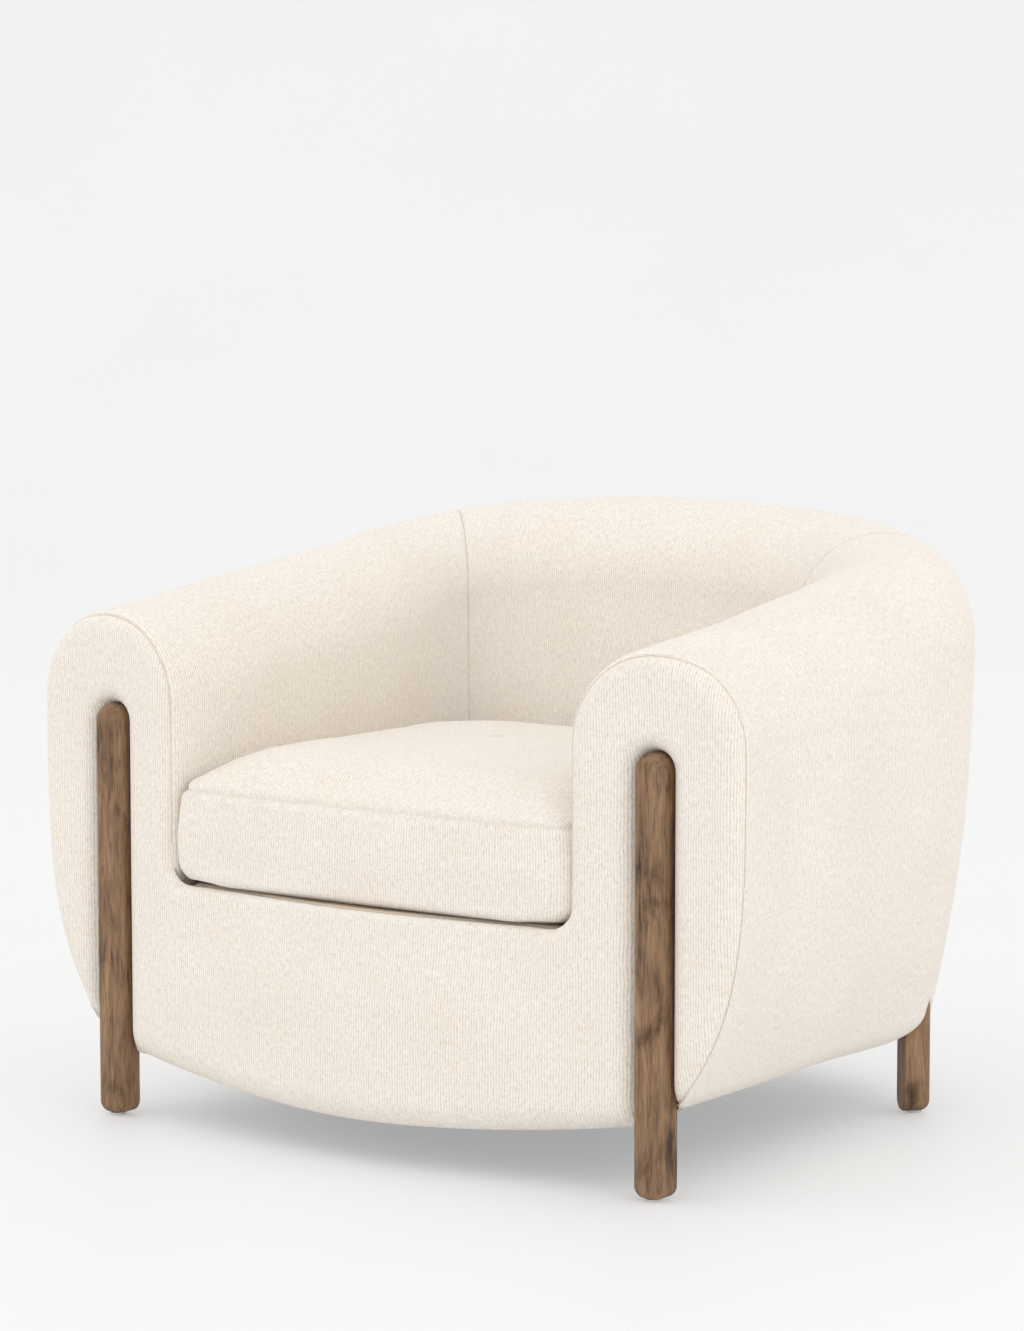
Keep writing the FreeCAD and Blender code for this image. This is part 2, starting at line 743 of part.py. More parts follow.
# ---- zip in the rear boxing -----------------------------------------------------------------
zip_z = cushion_low + cushion_side / 2
zip_face = cushion_back
zip_room = box(-zip_length / 2, zip_length / 2, zip_face - cushion_cover - 1, zip_face + 1,
               zip_z - zip_chain_width / 2 - 1, zip_z + zip_chain_width / 2 + 1)
boxing = boxing.cut(zip_room)
tape_front = zip_face - cushion_cover - inner_gap
tape_low, tape_high = zip_z - zip_tape_width / 2, zip_z + zip_tape_width / 2
tape_room = box(-zip_length / 2 - 8, zip_length / 2 + 8, tape_front - zip_tape_thickness - 0.1,
                zip_face + 1, tape_low - 0.2, tape_high + 0.2)
cushion_wrap_layer = cushion_wrap_layer.cut(tape_room)
zip_tape = box(-zip_length / 2 - 7, zip_length / 2 + 7, tape_front - zip_tape_thickness,
               tape_front, tape_low, tape_high)
teeth = []
tooth_count = int(zip_length / tooth_pitch) - 1
for k in range(tooth_count):
    x = -zip_length / 2 + (k + 1) * tooth_pitch
    teeth.append(box(x - tooth_width / 2, x + tooth_width / 2, tape_front + 0.05, tape_front + 0.05 + zip_chain_thickness,
                     zip_z - zip_chain_width / 2, zip_z + zip_chain_width / 2))
slider_rest = zip_length / 2 - slider_length
slider_low = tape_front + 0.05 + zip_chain_thickness + touch_gap
lug_radius = pull_pin_radius + 1.0
slider = box(slider_rest - slider_length / 2, slider_rest + slider_length / 2, slider_low,
             slider_low + slider_plate, zip_z - slider_width / 2, zip_z + slider_width / 2)
pivot_y = slider_low + slider_plate + pull_pin_radius + 0.9 + inner_gap
pivot = Vector(slider_rest, pivot_y, zip_z - slider_width / 2)
for z in (zip_z - slider_width / 2, zip_z + slider_width / 2 - lug_width):
    lug = Part.makeCylinder(lug_radius, lug_width, Vector(slider_rest, pivot_y, z))
    foot = box(slider_rest - lug_radius, slider_rest + lug_radius, slider_low + 0.5, pivot_y,
               z, z + lug_width)
    slider = slider.fuse(lug).fuse(foot)
slider = slider.fuse(Part.makeCylinder(pull_pin_radius, slider_width, pivot)).removeSplitter()
pull_half = slider_width / 2 - lug_width - inner_gap
pull = Part.makeCylinder(pull_pin_radius + 0.9, 2 * pull_half,
                         Vector(slider_rest, pivot_y, zip_z - pull_half))
blade = box(slider_rest - pull_length, slider_rest, pivot_y - pull_thickness / 2,
            pivot_y + pull_thickness / 2, zip_z - pull_half, zip_z + pull_half)
pull = pull.fuse(blade).cut(Part.makeCylinder(pull_pin_radius + pin_gap, 40,
                                              Vector(slider_rest, pivot_y, zip_z - 20)))

# ---- bolts and nuts that hold the legs ----------------------------------------------------
def leg_bolt(height, grip):
    """Bolt along Y through the board behind a leg, head on the inside."""
    start = Vector(0, leg_depth / 2 - insert_length + 1, height)
    length = grip + insert_length - 1
    shank = Part.makeCylinder(bolt_radius, length, start, Vector(0, 1, 0))
    head = Part.makeCylinder(bolt_head_radius, bolt_head,
                             Vector(0, leg_depth / 2 + grip, height), Vector(0, 1, 0))
    return shank.fuse(head).removeSplitter()


def leg_insert(height):
    """Threaded sleeve let into the flat back face of a leg."""
    start = Vector(0, leg_depth / 2 - insert_length, height)
    sleeve = Part.makeCylinder(insert_radius, insert_length, start, Vector(0, 1, 0))
    bore = Part.makeCylinder(bolt_radius + pin_gap, insert_length + 2, start, Vector(0, 1, 0))
    return sleeve.cut(bore)


def drill(shape, heights, radius, length, seat):
    for height in heights:
        start = Vector(0, leg_depth / 2 - insert_length, height)
        shape = shape.cut(seat(Part.makeCylinder(radius, length, start, Vector(0, 1, 0))))
    return shape


def in_place(shape):
    """A leg is drilled before it is set under the chair."""
    return shape


bolts = []
inserts = []
front_grip = touch_gap + board + touch_gap
rear_grip = touch_gap + rear_post_size + touch_gap
for heights, grip, seat in ((front_bolt_heights, front_grip, at_front_leg),
                            (rear_bolt_heights, rear_grip, at_rear_leg)):
    for height in heights:
        bolts.append(seat(leg_bolt(height, grip)))
        inserts.append(seat(leg_insert(height)))
bolts += [mirror(b) for b in bolts]
inserts += [mirror(n) for n in inserts]

front_leg = drill(make_leg(front_leg_top), front_bolt_heights, insert_radius + pin_gap,
                  insert_length + 5, in_place)
rear_leg = drill(make_leg(rear_leg_top), rear_bolt_heights, insert_radius + pin_gap,
                 insert_length + 5, in_place)
through = insert_length + 2 * rear_post_size
arm_post = drill(arm_post, front_bolt_heights, bolt_radius + pin_gap, through, at_front_leg)
rear_post = drill(rear_post, rear_bolt_heights, bolt_radius + pin_gap, through, at_rear_leg)
head_room = bolt_head_radius + 1.0
for height in rear_bolt_heights:
    start = Vector(0, leg_depth / 2 + rear_grip, height)
    room = at_rear_leg(Part.makeCylinder(head_room, bolt_head + 6, start, Vector(0, 1, 0)))
    side_rail = side_rail.cut(room)
    start = Vector(0, leg_depth / 2, height)
    shank_room = at_rear_leg(Part.makeCylinder(bolt_radius + pin_gap, rear_grip, start,
                                               Vector(0, 1, 0)))
    side_rail = side_rail.cut(shank_room)
    arm_pad = arm_pad.cut(shank_room)
    back_rail = back_rail.cut(room).cut(mirror(room))
    blocks = [b.cut(room).cut(mirror(room)) for b in blocks]

# ---- write the parts -------------------------------------------------------------------------
save_pair("leg_front", at_front_leg(front_leg))
save_pair("leg_rear", at_rear_leg(rear_leg))
save_pair("glide_front", at_front_leg(make_glide()))
save_pair("glide_rear", at_rear_leg(make_glide()))
save_pair("arm_post", arm_post)
save_pair("rear_post", rear_post)
save_pair("side_rail", side_rail)
save_pair("arm_upright", arm_upright)
save_pair("arm_top_rail", arm_top_rail)
save("back_top_rail", back_top_rail)
save("front_rail", front_rail)
save("back_rail", back_rail)
save("back_uprights", Part.makeCompound(uprights))
save("corner_blocks", Part.makeCompound(blocks))
save("leg_bolts", Part.makeCompound(bolts))
save("leg_inserts", Part.makeCompound(inserts))
save("seat_springs", Part.makeCompound(springs))
save("spring_clips", Part.makeCompound(clips))
save("spring_ties", Part.makeCompound(ties))
save("deck_insulator", insulator)
save("deck_pad", deck_pad)
save("deck_cover", deck_cover)
save("dust_cover", dust_cover)
save("front_pad", front_pad)
save("front_cover", front_cover)
save_pair("arm_pad", arm_pad)
save_pair("arm_cover", arm_cover)
save("back_pad", back_pad)
save("back_cover", back_cover)
save("cushion_core", cushion_core)
save("cushion_wrap", cushion_wrap_layer)
save("cushion_top_panel", cushion_top)
save("cushion_bottom_panel", cushion_bottom)
save("cushion_boxing", boxing)
save("zip_tape", zip_tape)
save("zip_teeth", Part.makeCompound(teeth))
save("zip_slider", slider)
save("zip_pull", pull)
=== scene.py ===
import json
import math

import bmesh
import bpy
import numpy as np
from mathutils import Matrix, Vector, kdtree


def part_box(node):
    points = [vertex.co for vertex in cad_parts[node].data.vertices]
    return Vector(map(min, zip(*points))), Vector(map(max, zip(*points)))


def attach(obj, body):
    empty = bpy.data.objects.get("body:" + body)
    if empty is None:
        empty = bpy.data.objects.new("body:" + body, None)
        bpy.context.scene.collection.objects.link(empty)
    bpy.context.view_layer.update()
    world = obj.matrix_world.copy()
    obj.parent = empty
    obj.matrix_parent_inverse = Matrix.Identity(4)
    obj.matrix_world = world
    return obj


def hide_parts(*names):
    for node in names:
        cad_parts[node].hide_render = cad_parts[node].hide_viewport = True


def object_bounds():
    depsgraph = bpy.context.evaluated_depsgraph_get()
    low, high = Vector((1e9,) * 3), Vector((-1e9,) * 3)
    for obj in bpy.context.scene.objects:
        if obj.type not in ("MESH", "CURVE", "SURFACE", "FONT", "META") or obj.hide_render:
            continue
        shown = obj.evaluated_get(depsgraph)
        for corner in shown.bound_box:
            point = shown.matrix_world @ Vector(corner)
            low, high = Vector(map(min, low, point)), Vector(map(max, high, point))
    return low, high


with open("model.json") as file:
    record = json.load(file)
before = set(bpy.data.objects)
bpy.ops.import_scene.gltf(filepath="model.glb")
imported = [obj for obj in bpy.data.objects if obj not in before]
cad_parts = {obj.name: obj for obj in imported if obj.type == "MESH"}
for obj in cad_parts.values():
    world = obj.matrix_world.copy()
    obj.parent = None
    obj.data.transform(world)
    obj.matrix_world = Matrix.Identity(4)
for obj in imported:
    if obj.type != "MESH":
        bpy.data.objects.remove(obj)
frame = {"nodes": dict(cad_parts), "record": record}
CAD_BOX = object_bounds()

# ---- sizes taken from the frame (metres) ---------------------------------------------
HALF_WIDTH = CAD_BOX[1][0]
FRONT = CAD_BOX[0][1]
REAR = CAD_BOX[1][1]
BACK_TOP = CAD_BOX[1][2]
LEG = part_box("leg_front_right")
LEG_X = (LEG[0][0] + LEG[1][0]) / 2
LEG_HALF = (LEG[1][0] - LEG[0][0]) / 2
LEG_DEEP = LEG[1][1] - LEG[0][1]
LEG_BACK = LEG[1][1]
LEG_TOP = LEG[1][2]
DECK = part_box("deck_cover")[1][2]
CUSHION_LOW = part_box("cushion_bottom_panel")[0]
CUSHION_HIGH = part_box("cushion_bottom_panel")[1]
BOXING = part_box("cushion_boxing")

# ---- the body's shape: plan line, section and top line ----------------------------------
ARM_TOP = 0.600
ARM_RISE = 0.118
ARM_STRAIGHT = 0.430
BACK_RISE = 0.16
ARM_THICK = 0.212
BACK_THICK = 0.200
SIDE_TURN = math.radians(4.5)
SIDE_RADIUS = 4.77
CORNER_RADIUS = 0.292
CORNER_END = math.radians(73.65)
SEAM_TURN = math.radians(48.0)
TAPER = (0.094, 0.032)
TAPER_POWER = (3.7, 1.36)
HEM = 0.084
CURL_IN = 0.052
CURL_UP = 0.035
LEAN = 0.30
LEAN_START = 0.060
LEAN_FOOT_ROUND = 0.040
SEAT_TOP = DECK + 0.140
INNER_FOOT = 0.240
CORNER_SOFT = 0.085
SOFT_REACH = 2.4
SOFT_SAMPLES = 13
WALL_START = LEG_BACK + 0.0002

CORNER_X = HALF_WIDTH - SIDE_RADIUS * (1 - math.cos(SIDE_TURN))
BACK_X = CORNER_X - CORNER_RADIUS * (math.cos(SIDE_TURN) - math.cos(CORNER_END))
BACK_RADIUS = BACK_X / math.cos(CORNER_END)
TURNED = (SIDE_RADIUS * math.sin(SIDE_TURN)
          + CORNER_RADIUS * (math.sin(CORNER_END) - math.sin(SIDE_TURN))
          + BACK_RADIUS * (1 - math.sin(CORNER_END)))
STRAIGHT = REAR - WALL_START - TURNED


def segments():
    rows = [(0.0, None, 0.0, HALF_WIDTH, WALL_START)]
    length = STRAIGHT
    x, y = HALF_WIDTH, WALL_START + STRAIGHT
    for radius, begin, finish in ((SIDE_RADIUS, 0.0, SIDE_TURN),
                                  (CORNER_RADIUS, SIDE_TURN, CORNER_END),
                                  (BACK_RADIUS, CORNER_END, math.pi / 2)):
        cx, cy = x - radius * math.cos(begin), y - radius * math.sin(begin)
        rows.append((length, radius, begin, cx, cy))
        length += radius * (finish - begin)
        x, y = cx + radius * math.cos(finish), cy + radius * math.sin(finish)
    return rows, length


SEGMENTS, HALF_LENGTH = segments()
SEAM_STATION = SEGMENTS[2][0] + CORNER_RADIUS * (SEAM_TURN - SIDE_TURN)


def plan(stations):
    """x, y and outward turn of the outer plan line, front right round to front left."""
    s = np.asarray(stations, float)
    mirrored = s > HALF_LENGTH
    along = np.where(mirrored, 2 * HALF_LENGTH - s, s)
    x = np.full_like(along, HALF_WIDTH)
    y = WALL_START + along
    turn = np.zeros_like(along)
    for start, radius, begin, cx, cy in SEGMENTS[1:]:
        here = along >= start
        angle = begin + (along - start) / radius
        x = np.where(here, cx + radius * np.cos(angle), x)
        y = np.where(here, cy + radius * np.sin(angle), y)
        turn = np.where(here, angle, turn)
    return np.where(mirrored, -x, x), y, np.where(mirrored, math.pi - turn, turn)


def smooth(low, high, value):
    t = np.clip((value - low) / (high - low), 0, 1)
    return t * t * (3 - 2 * t)


def top_line(along):
    span = HALF_LENGTH - ARM_STRAIGHT
    t = np.clip((along - ARM_STRAIGHT) / span, 0, 1)
    start = ARM_TOP + ARM_RISE * ARM_STRAIGHT
    curve = ((2 * t**3 - 3 * t**2 + 1) * start + (t**3 - 2 * t**2 + t) * BACK_RISE * span
             + (3 * t**2 - 2 * t**3) * BACK_TOP)
    return np.where(along < ARM_STRAIGHT, ARM_TOP + ARM_RISE * along, curve)


def section(stations, leg, t):
    """Outward offset and height on the wall's section, for columns of stations and rows of t."""
    s = np.asarray(stations, float)[:, None]
    t = np.asarray(t, float)[None, :]
    along = np.minimum(s, 2 * HALF_LENGTH - s)
    share = smooth(0.25, 0.75, along / HALF_LENGTH)
    thick = ARM_THICK + (BACK_THICK - ARM_THICK) * share
    taper = TAPER[0] + (TAPER[1] - TAPER[0]) * share
    power = TAPER_POWER[0] + (TAPER_POWER[1] - TAPER_POWER[0]) * share
    lean = LEAN * smooth(0.35, 0.75, along / HALF_LENGTH)
    middle = top_line(along) - thick / 2
    side_foot = HEM + CURL_UP

    def tuck(height):
        return -taper * np.clip((middle - height) / (middle - HEM), 0, None)**power

    if leg == "under":
        a = math.pi / 2 * (1 - t)
        height = side_foot - CURL_UP * np.sin(a) + 0 * s
        return tuck(height) - CURL_IN * (1 - np.cos(a)), height
    if leg == "side":
        height = side_foot + (middle - side_foot) * t
        return tuck(height), height
    if leg == "roll":
        a = math.pi * t
        return -thick / 2 + thick / 2 * np.cos(a), middle + thick / 2 * np.sin(a)
    height = middle + (INNER_FOOT - middle) * t
    above = height - SEAT_TOP
    drop = middle - SEAT_TOP - (above + np.hypot(above, LEAN_FOOT_ROUND)) / 2
    drop = np.clip(drop, 0, None)
    return -thick - lean * drop * drop / (drop + LEAN_START), height


def wall_points(stations, step):
    """Points (stations x rows x 3) over the wall's section, and each row's leg and t."""
    n_rows, z_rows, marks = [], [], []
    for leg, length in (("under", 0.07), ("side", 0.38), ("roll", 0.33), ("inner", 0.27)):
        count = max(4, int(round(length / step)))
        t = np.linspace(0, 1, count + 1)
        if marks:
            t = t[1:]
        n, z = section(stations, leg, t)
        n_rows.append(n)
        z_rows.append(z)
        marks += [(leg, v) for v in t]
    n = np.concatenate(n_rows, 1)
    z = np.concatenate(z_rows, 1)
    x, y, turn = plan(stations)
    points = np.stack([x[:, None] + n * np.cos(turn)[:, None],
                       y[:, None] + n * np.sin(turn)[:, None], z], -1)
    return points, marks


def wall_surface(stations, step):
    """The wall's points, with the stuffing rounding out the tight inside corners."""
    points, marks = wall_points(stations, step)
    total, weights = 0.0, 0.0
    for shift in np.linspace(-SOFT_REACH, SOFT_REACH, SOFT_SAMPLES):
        weight = math.exp(-shift * shift / 2)
        total = total + weight * wall_points(np.asarray(stations) + shift * CORNER_SOFT, step)[0]
        weights += weight
    share = np.array([{"roll": float(smooth(0.45, 1.0, t)), "inner": 1.0}.get(leg, 0.0)
                      for leg, t in marks])[None, :, None]
    return points + (total / weights - points) * share, marks


# ---- mesh helpers ------------------------------------------------------------------------
def grid_normals(p):
    a = np.gradient(p, axis=0)
    b = np.gradient(p, axis=1)
    n = np.cross(a, b)
    return n / np.maximum(np.linalg.norm(n, axis=2), 1e-12)[..., None]


def arc_lengths(p):
    """Running lengths along both directions of a grid, for the weave's coordinates."""
    du = np.linalg.norm(np.diff(p, axis=0), axis=2)
    dv = np.linalg.norm(np.diff(p, axis=1), axis=2)
    u = np.concatenate([np.zeros((1, p.shape[1])), np.cumsum(du, 0)])
    v = np.concatenate([np.zeros((p.shape[0], 1)), np.cumsum(dv, 1)], 1)
    return u, v


def new_object(name, verts, faces, uv=None):
    mesh = bpy.data.meshes.new(name)
    mesh.from_pydata([tuple(v) for v in verts], [], [tuple(f) for f in faces])
    if uv is not None:
        layer = mesh.uv_layers.new(name="weave")
        loops = np.zeros(len(mesh.loops), int)
        mesh.loops.foreach_get("vertex_index", loops)
        layer.data.foreach_set("uv", np.asarray(uv, np.float32)[loops].ravel())
    mesh.polygons.foreach_set("use_smooth", [True] * len(mesh.polygons))
    mesh.update()
    obj = bpy.data.objects.new(name, mesh)
    bpy.context.collection.objects.link(obj)
    return obj


def coords(mesh):
    co = np.zeros(len(mesh.vertices) * 3)
    mesh.vertices.foreach_get("co", co)
    return co.reshape(-1, 3)


def closed_skin(name, outer, inner, uv, keep=None):
    """Closed thin solid from two matching point grids; keep masks the grid's cells."""
    rows, cols = outer.shape[:2]
    index = np.arange(rows * cols).reshape(rows, cols)
    cells = np.ones((rows - 1, cols - 1), bool) if keep is None else keep
    quads = np.stack([index[:-1, :-1], index[1:, :-1], index[1:, 1:], index[:-1, 1:]], -1)
    quads = quads[cells]
    used = np.zeros(rows * cols, bool)
    used[quads.ravel()] = True
    number = np.cumsum(used) - 1
    count = int(used.sum())
    quads = number[quads]
    edges = {}
    for q in quads:
        for k in range(4):
            a, b = int(q[k]), int(q[(k + 1) % 4])
            if (b, a) in edges:
                del edges[(b, a)]
            else:
                edges[(a, b)] = True
    verts = np.concatenate([outer.reshape(-1, 3)[used], inner.reshape(-1, 3)[used]])
    faces = [tuple(q) for q in quads]
    faces += [tuple(q[::-1] + count) for q in quads]
    faces += [(b, a, a + count, b + count) for a, b in edges]
    flat_uv = uv.reshape(-1, 2)[used]
    obj = new_object(name, verts, faces, np.concatenate([flat_uv, flat_uv]))
    fix = bmesh.new()
    fix.from_mesh(obj.data)
    bmesh.ops.recalc_face_normals(fix, faces=fix.faces)
    fix.to_mesh(obj.data)
    fix.free()
    return obj


def ripple(p, scale, seed):
    """Smooth unevenness between -1 and 1, from a few sine waves fixed by seed."""
    draw = np.random.default_rng(seed)
    total = np.zeros(p.shape[:-1])
    for _ in range(7):
        wave = draw.normal(size=3)
        wave = wave / np.linalg.norm(wave) * draw.uniform(0.6, 1.6) * 2 * math.pi / scale
        total += np.sin(p @ wave + draw.uniform(0, 2 * math.pi))
    return total / 7


def tube(name, points, radius, sides=8):
    """Closed round thread along points."""
    p = np.asarray(points, float)
    tangent = np.gradient(p, axis=0)
    tangent /= np.linalg.norm(tangent, axis=1)[:, None]
    guide = np.array([0.3, 0.2, 0.93])
    verts = []
    side_a = np.cross(tangent, guide)
    side_a /= np.maximum(np.linalg.norm(side_a, axis=1), 1e-9)[:, None]
    side_b = np.cross(tangent, side_a)
    for k in range(len(p)):
        for j in range(sides):
            a = 2 * math.pi * j / sides
            verts.append(p[k] + radius * (math.cos(a) * side_a[k] + math.sin(a) * side_b[k]))
    faces = []
    for k in range(len(p) - 1):
        for j in range(sides):
            a, b = k * sides + j, k * sides + (j + 1) % sides
            faces.append((a, b, b + sides, a + sides))
    faces.append(tuple(range(sides))[::-1])
    last = (len(p) - 1) * sides
    faces.append(tuple(range(last, last + sides)))
    return new_object(name, verts, faces)


# ---- arm and back covers -----------------------------------------------------------------
STEP = 0.006
FINE_STEP = 0.0025
SKIN = 0.004
SEAM_DIP = 0.0012
SEAM_REACH = 0.006
WALL_UNEVEN = 0.0016
WALL_WAVE = 0.22
EDGE_ROUND = 0.024
INNER_SEAM_ANGLE = math.radians(40.0)
OUTER_SEAM_ANGLE = math.radians(12.0)
GROOVE_ROUND = 0.026
LEG_PROUD = 0.004
LEG_PROUD_REACH = 0.050
SLOT_INSIDE = 0.0015
GROOVE_SLACK = 0.001
FRONT_BOW = 0.050
BOW_SPREAD = 0.26


def front_bow(x):
    """How far the flat of the front lies behind its middle."""
    return FRONT_BOW * (1 - np.exp(-(x / BOW_SPREAD)**2))


def seam_angle(x):
    """How far round the front edge the facing's seam lies, less on the outside."""
    share = smooth(HALF_WIDTH - 0.10, HALF_WIDTH - 0.01, np.abs(x))
    return INNER_SEAM_ANGLE + (OUTER_SEAM_ANGLE - INNER_SEAM_ANGLE) * share


def seam_inset(x):
    return EDGE_ROUND * (1 - np.cos(seam_angle(x)))


def crease(distance):
    """How far the fabric is drawn in beside a seam."""
    return SEAM_DIP * np.clip(1 - distance / SEAM_REACH, 0, 1)**2


def rounding(distance, radius):
    """Set-back of a rounded edge, zero beyond radius."""
    d = np.clip(radius - distance, 0, radius)
    return radius - np.sqrt(np.maximum(radius * radius - d * d, 0))


def leg_distance(x, z):
    """Signed distance outside a front leg's outline, seen from the front."""
    dx = np.abs(np.abs(x) - LEG_X)
    dz = np.maximum(z - (LEG_TOP - LEG_HALF), 0)
    return np.hypot(dx, dz) - LEG_HALF


def groove(x, z):
    """How far back the fabric lies beside a front leg."""
    d = np.maximum(leg_distance(x, z), 0)
    return LEG_PROUD * np.exp(-(d / LEG_PROUD_REACH)**2) + rounding(d, GROOVE_ROUND)


def slot_mask(points):
    """Cells of a wall grid that no leg passes through."""
    low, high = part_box("leg_rear_right")
    mid = (points[:-1, :-1] + points[1:, 1:]) / 2
    cx, cy = (low[0] + high[0]) / 2, (low[1] + high[1]) / 2
    side = np.sign(mid[..., 0])
    dx, dy = mid[..., 0] * side - cx, mid[..., 1] - cy
    along = (dx + dy) / math.sqrt(2)
    across = (dx - dy) / math.sqrt(2)
    inside = (np.abs(along) < LEG_DEEP / 2) & (np.abs(across) < LEG_HALF)
    ahead = (leg_distance(mid[..., 0], mid[..., 2]) < -SLOT_INSIDE) & (mid[..., 1] < LEG_BACK)
    return ~(inside & (mid[..., 2] < high[2])) & ~ahead


def wall_piece(name, stations, seed, shape=None):
    p, _ = wall_surface(stations, STEP)
    if shape:
        p = shape(p)
    u, v = arc_lengths(p)
    nearest = np.minimum(stations - stations[0], stations[-1] - stations)[:, None]
    normal = grid_normals(p)
    middle = p.mean(axis=1, keepdims=True)
    outward = np.sign(np.sum(normal * (p - middle), axis=2).mean())
    normal = normal * outward
    swell = WALL_UNEVEN * ripple(p, WALL_WAVE, seed) * smooth(0.0, 0.05, nearest)
    p = p + normal * (swell - crease(nearest))[..., None]
    inner = p - normal * SKIN
    uv = np.stack([u.mean(axis=1, keepdims=True) + 0 * v, v], -1)
    return closed_skin(name, p, inner, uv, slot_mask(p))


def round_front(p):
    """Brings an arm's front edge round to the seam of the facing."""
    reach = WALL_START + STRAIGHT
    rim = FRONT + front_bow(p[..., 0]) + EDGE_ROUND
    last = seam_angle(p[..., 0])
    end = rim - EDGE_ROUND * last
    near = np.clip((reach - p[..., 1]) / STRAIGHT, 0, 1)
    unrolled = p[..., 1] + near * (end - WALL_START)
    angle = np.clip((rim - unrolled) / EDGE_ROUND, 0, last)
    q = p.copy()
    q[..., 1] = np.where(angle > 0, rim - EDGE_ROUND * np.sin(angle), unrolled)
    along = np.gradient(p[..., [0, 2]], axis=1)
    inward = np.stack([-along[..., 1], along[..., 0]], -1)
    inward /= np.linalg.norm(inward, axis=2)[..., None]
    inset = EDGE_ROUND * (1 - np.cos(angle))
    q[..., 0] += inward[..., 0] * inset
    q[..., 2] += inward[..., 1] * inset
    x = q[..., 0]
    limit = FRONT + front_bow(x) + EDGE_ROUND * (1 - np.sin(last)) + groove(x, q[..., 2])
    q[..., 1] = np.maximum(q[..., 1], limit - GROOVE_SLACK)
    return q


def arm_piece(name, side, seed):
    front_rows = np.arange(0.0, STRAIGHT / 2, FINE_STEP)
    rest = np.arange(STRAIGHT / 2, SEAM_STATION, STEP)
    obj = wall_piece(name, np.append(np.append(front_rows, rest[:-1]), SEAM_STATION), seed,
                     round_front)
    if side < 0:
        co = coords(obj.data)
        co[:, 0] *= -1
        obj.data.vertices.foreach_set("co", co.ravel())
        obj.data.flip_normals()
        obj.data.update()
    return obj


arm_right = arm_piece("arm_cover_right_skin", 1, 11)
arm_left = arm_piece("arm_cover_left_skin", -1, 12)
back_span = 2 * (HALF_LENGTH - SEAM_STATION)
back = wall_piece("back_cover_skin",
                  SEAM_STATION + np.linspace(0, back_span, int(back_span / STEP)), 13)


# ---- front cover: both facings and the rail in one panel -----------------------------------
RAIL_TOP = DECK - 0.0010
INNER_CORNER = 0.030
BELLY = 0.046
BELLY_ROUND = 0.034
HEM_DROP = 0.016
RAIL_ROUND = 0.007
RAIL_LEAN = 0.012
LEAN_HEIGHTS = (0.17, 0.29)
LEAN_ENDS = (0.22, 0.27)
FRONT_UNEVEN = 0.0012
FRONT_WAVE = 0.20


def resample(points, count):
    p = np.asarray(points, float)
    step = np.concatenate([[0], np.cumsum(np.linalg.norm(np.diff(p, axis=0), axis=1))])
    at = np.linspace(0, step[-1], count)
    return np.stack([np.interp(at, step, p[:, k]) for k in range(2)], 1)


def contour(leg, first, last, count):
    """Points of the facing's outline in (x, z), inside the arm's by the seam's inset."""
    t = np.linspace(first, last, count)
    n, z = section([0.0], leg, t)
    ahead, up = section([0.0], leg, np.clip(t + 0.001, 0, 1))
    behind, down = section([0.0], leg, np.clip(t - 0.001, 0, 1))
    along = np.stack([ahead[0] - behind[0], up[0] - down[0]], 1)
    along /= np.linalg.norm(along, axis=1)[:, None]
    inward = np.stack([-along[:, 1], along[:, 0]], 1)
    edge = np.stack([HALF_WIDTH + n[0], z[0]], 1)
    return edge + inward * seam_inset(edge[:, :1])


def outer_run(first_roll=0.28):
    """From the roll down the outside to the hem beside the leg."""
    under = contour("under", 1.0, 0.0, 12)[1:]
    under[:, 1] -= HEM_DROP * np.linspace(0, 1, len(under))**2
    return np.concatenate([contour("roll", first_roll, 0.0, 12),
                           contour("side", 1.0, 0.0, 40)[1:], under])


def inner_run():
    """From the roll down the inside to the rail's corner."""
    run = np.concatenate([contour("roll", 0.72, 1.0, 12), contour("inner", 0.0, 1.0, 20)[1:]])
    run = run[run[:, 1] > RAIL_TOP + INNER_CORNER]
    corner_x = run[-1][0]
    turn = np.linspace(0, math.pi / 2, 8)
    corner = np.stack([corner_x - INNER_CORNER * (1 - np.cos(turn)),
                       RAIL_TOP + INNER_CORNER * (1 - np.sin(turn))], 1)
    return np.concatenate([run, corner])


def front_boundaries():
    """Right half: outer run, belly, inner run, rail, end across the roll, in (x, z)."""
    outer = outer_run()
    hem = outer[-1]
    belly_x = np.linspace(hem[0], 0, 30)
    belly = np.stack([belly_x, BELLY + (hem[1] - BELLY) * (belly_x / hem[0])**2], 1)
    inner = inner_run()
    rail = np.stack([np.linspace(inner[-1][0], 0, 30), np.full(30, RAIL_TOP)], 1)
    end = contour("roll", 0.28, 0.72, 40)
    return outer, belly, inner, rail, end


def coons(top, bottom, left, right):
    """Point grid filling four boundary runs: rows go top to bottom, columns left to right."""
    rows, cols = len(left), len(top)
    s = np.linspace(0, 1, rows)[:, None, None]
    t = np.linspace(0, 1, cols)[None, :, None]
    blend = (1 - s) * top[None] + s * bottom[None] + (1 - t) * left[:, None] + t * right[:, None]
    corners = ((1 - s) * (1 - t) * top[0] + (1 - s) * t * top[-1]
               + s * (1 - t) * bottom[0] + s * t * bottom[-1])
    return blend - corners


def nearest(points, run):
    """Distance in the plane from grid points to a run of points, and the nearest places on it."""
    best = np.full(points.shape[:2], 9.0)
    foot = np.zeros_like(points)
    for a, b in zip(run[:-1], run[1:]):
        d = b - a
        t = np.clip(((points - a) @ d) / max(d @ d, 1e-12), 0, 1)
        near = a + t[..., None] * d
        distance = np.linalg.norm(points - near, axis=2)
        foot = np.where((distance < best)[..., None], near, foot)
        best = np.minimum(best, distance)
    return best, foot


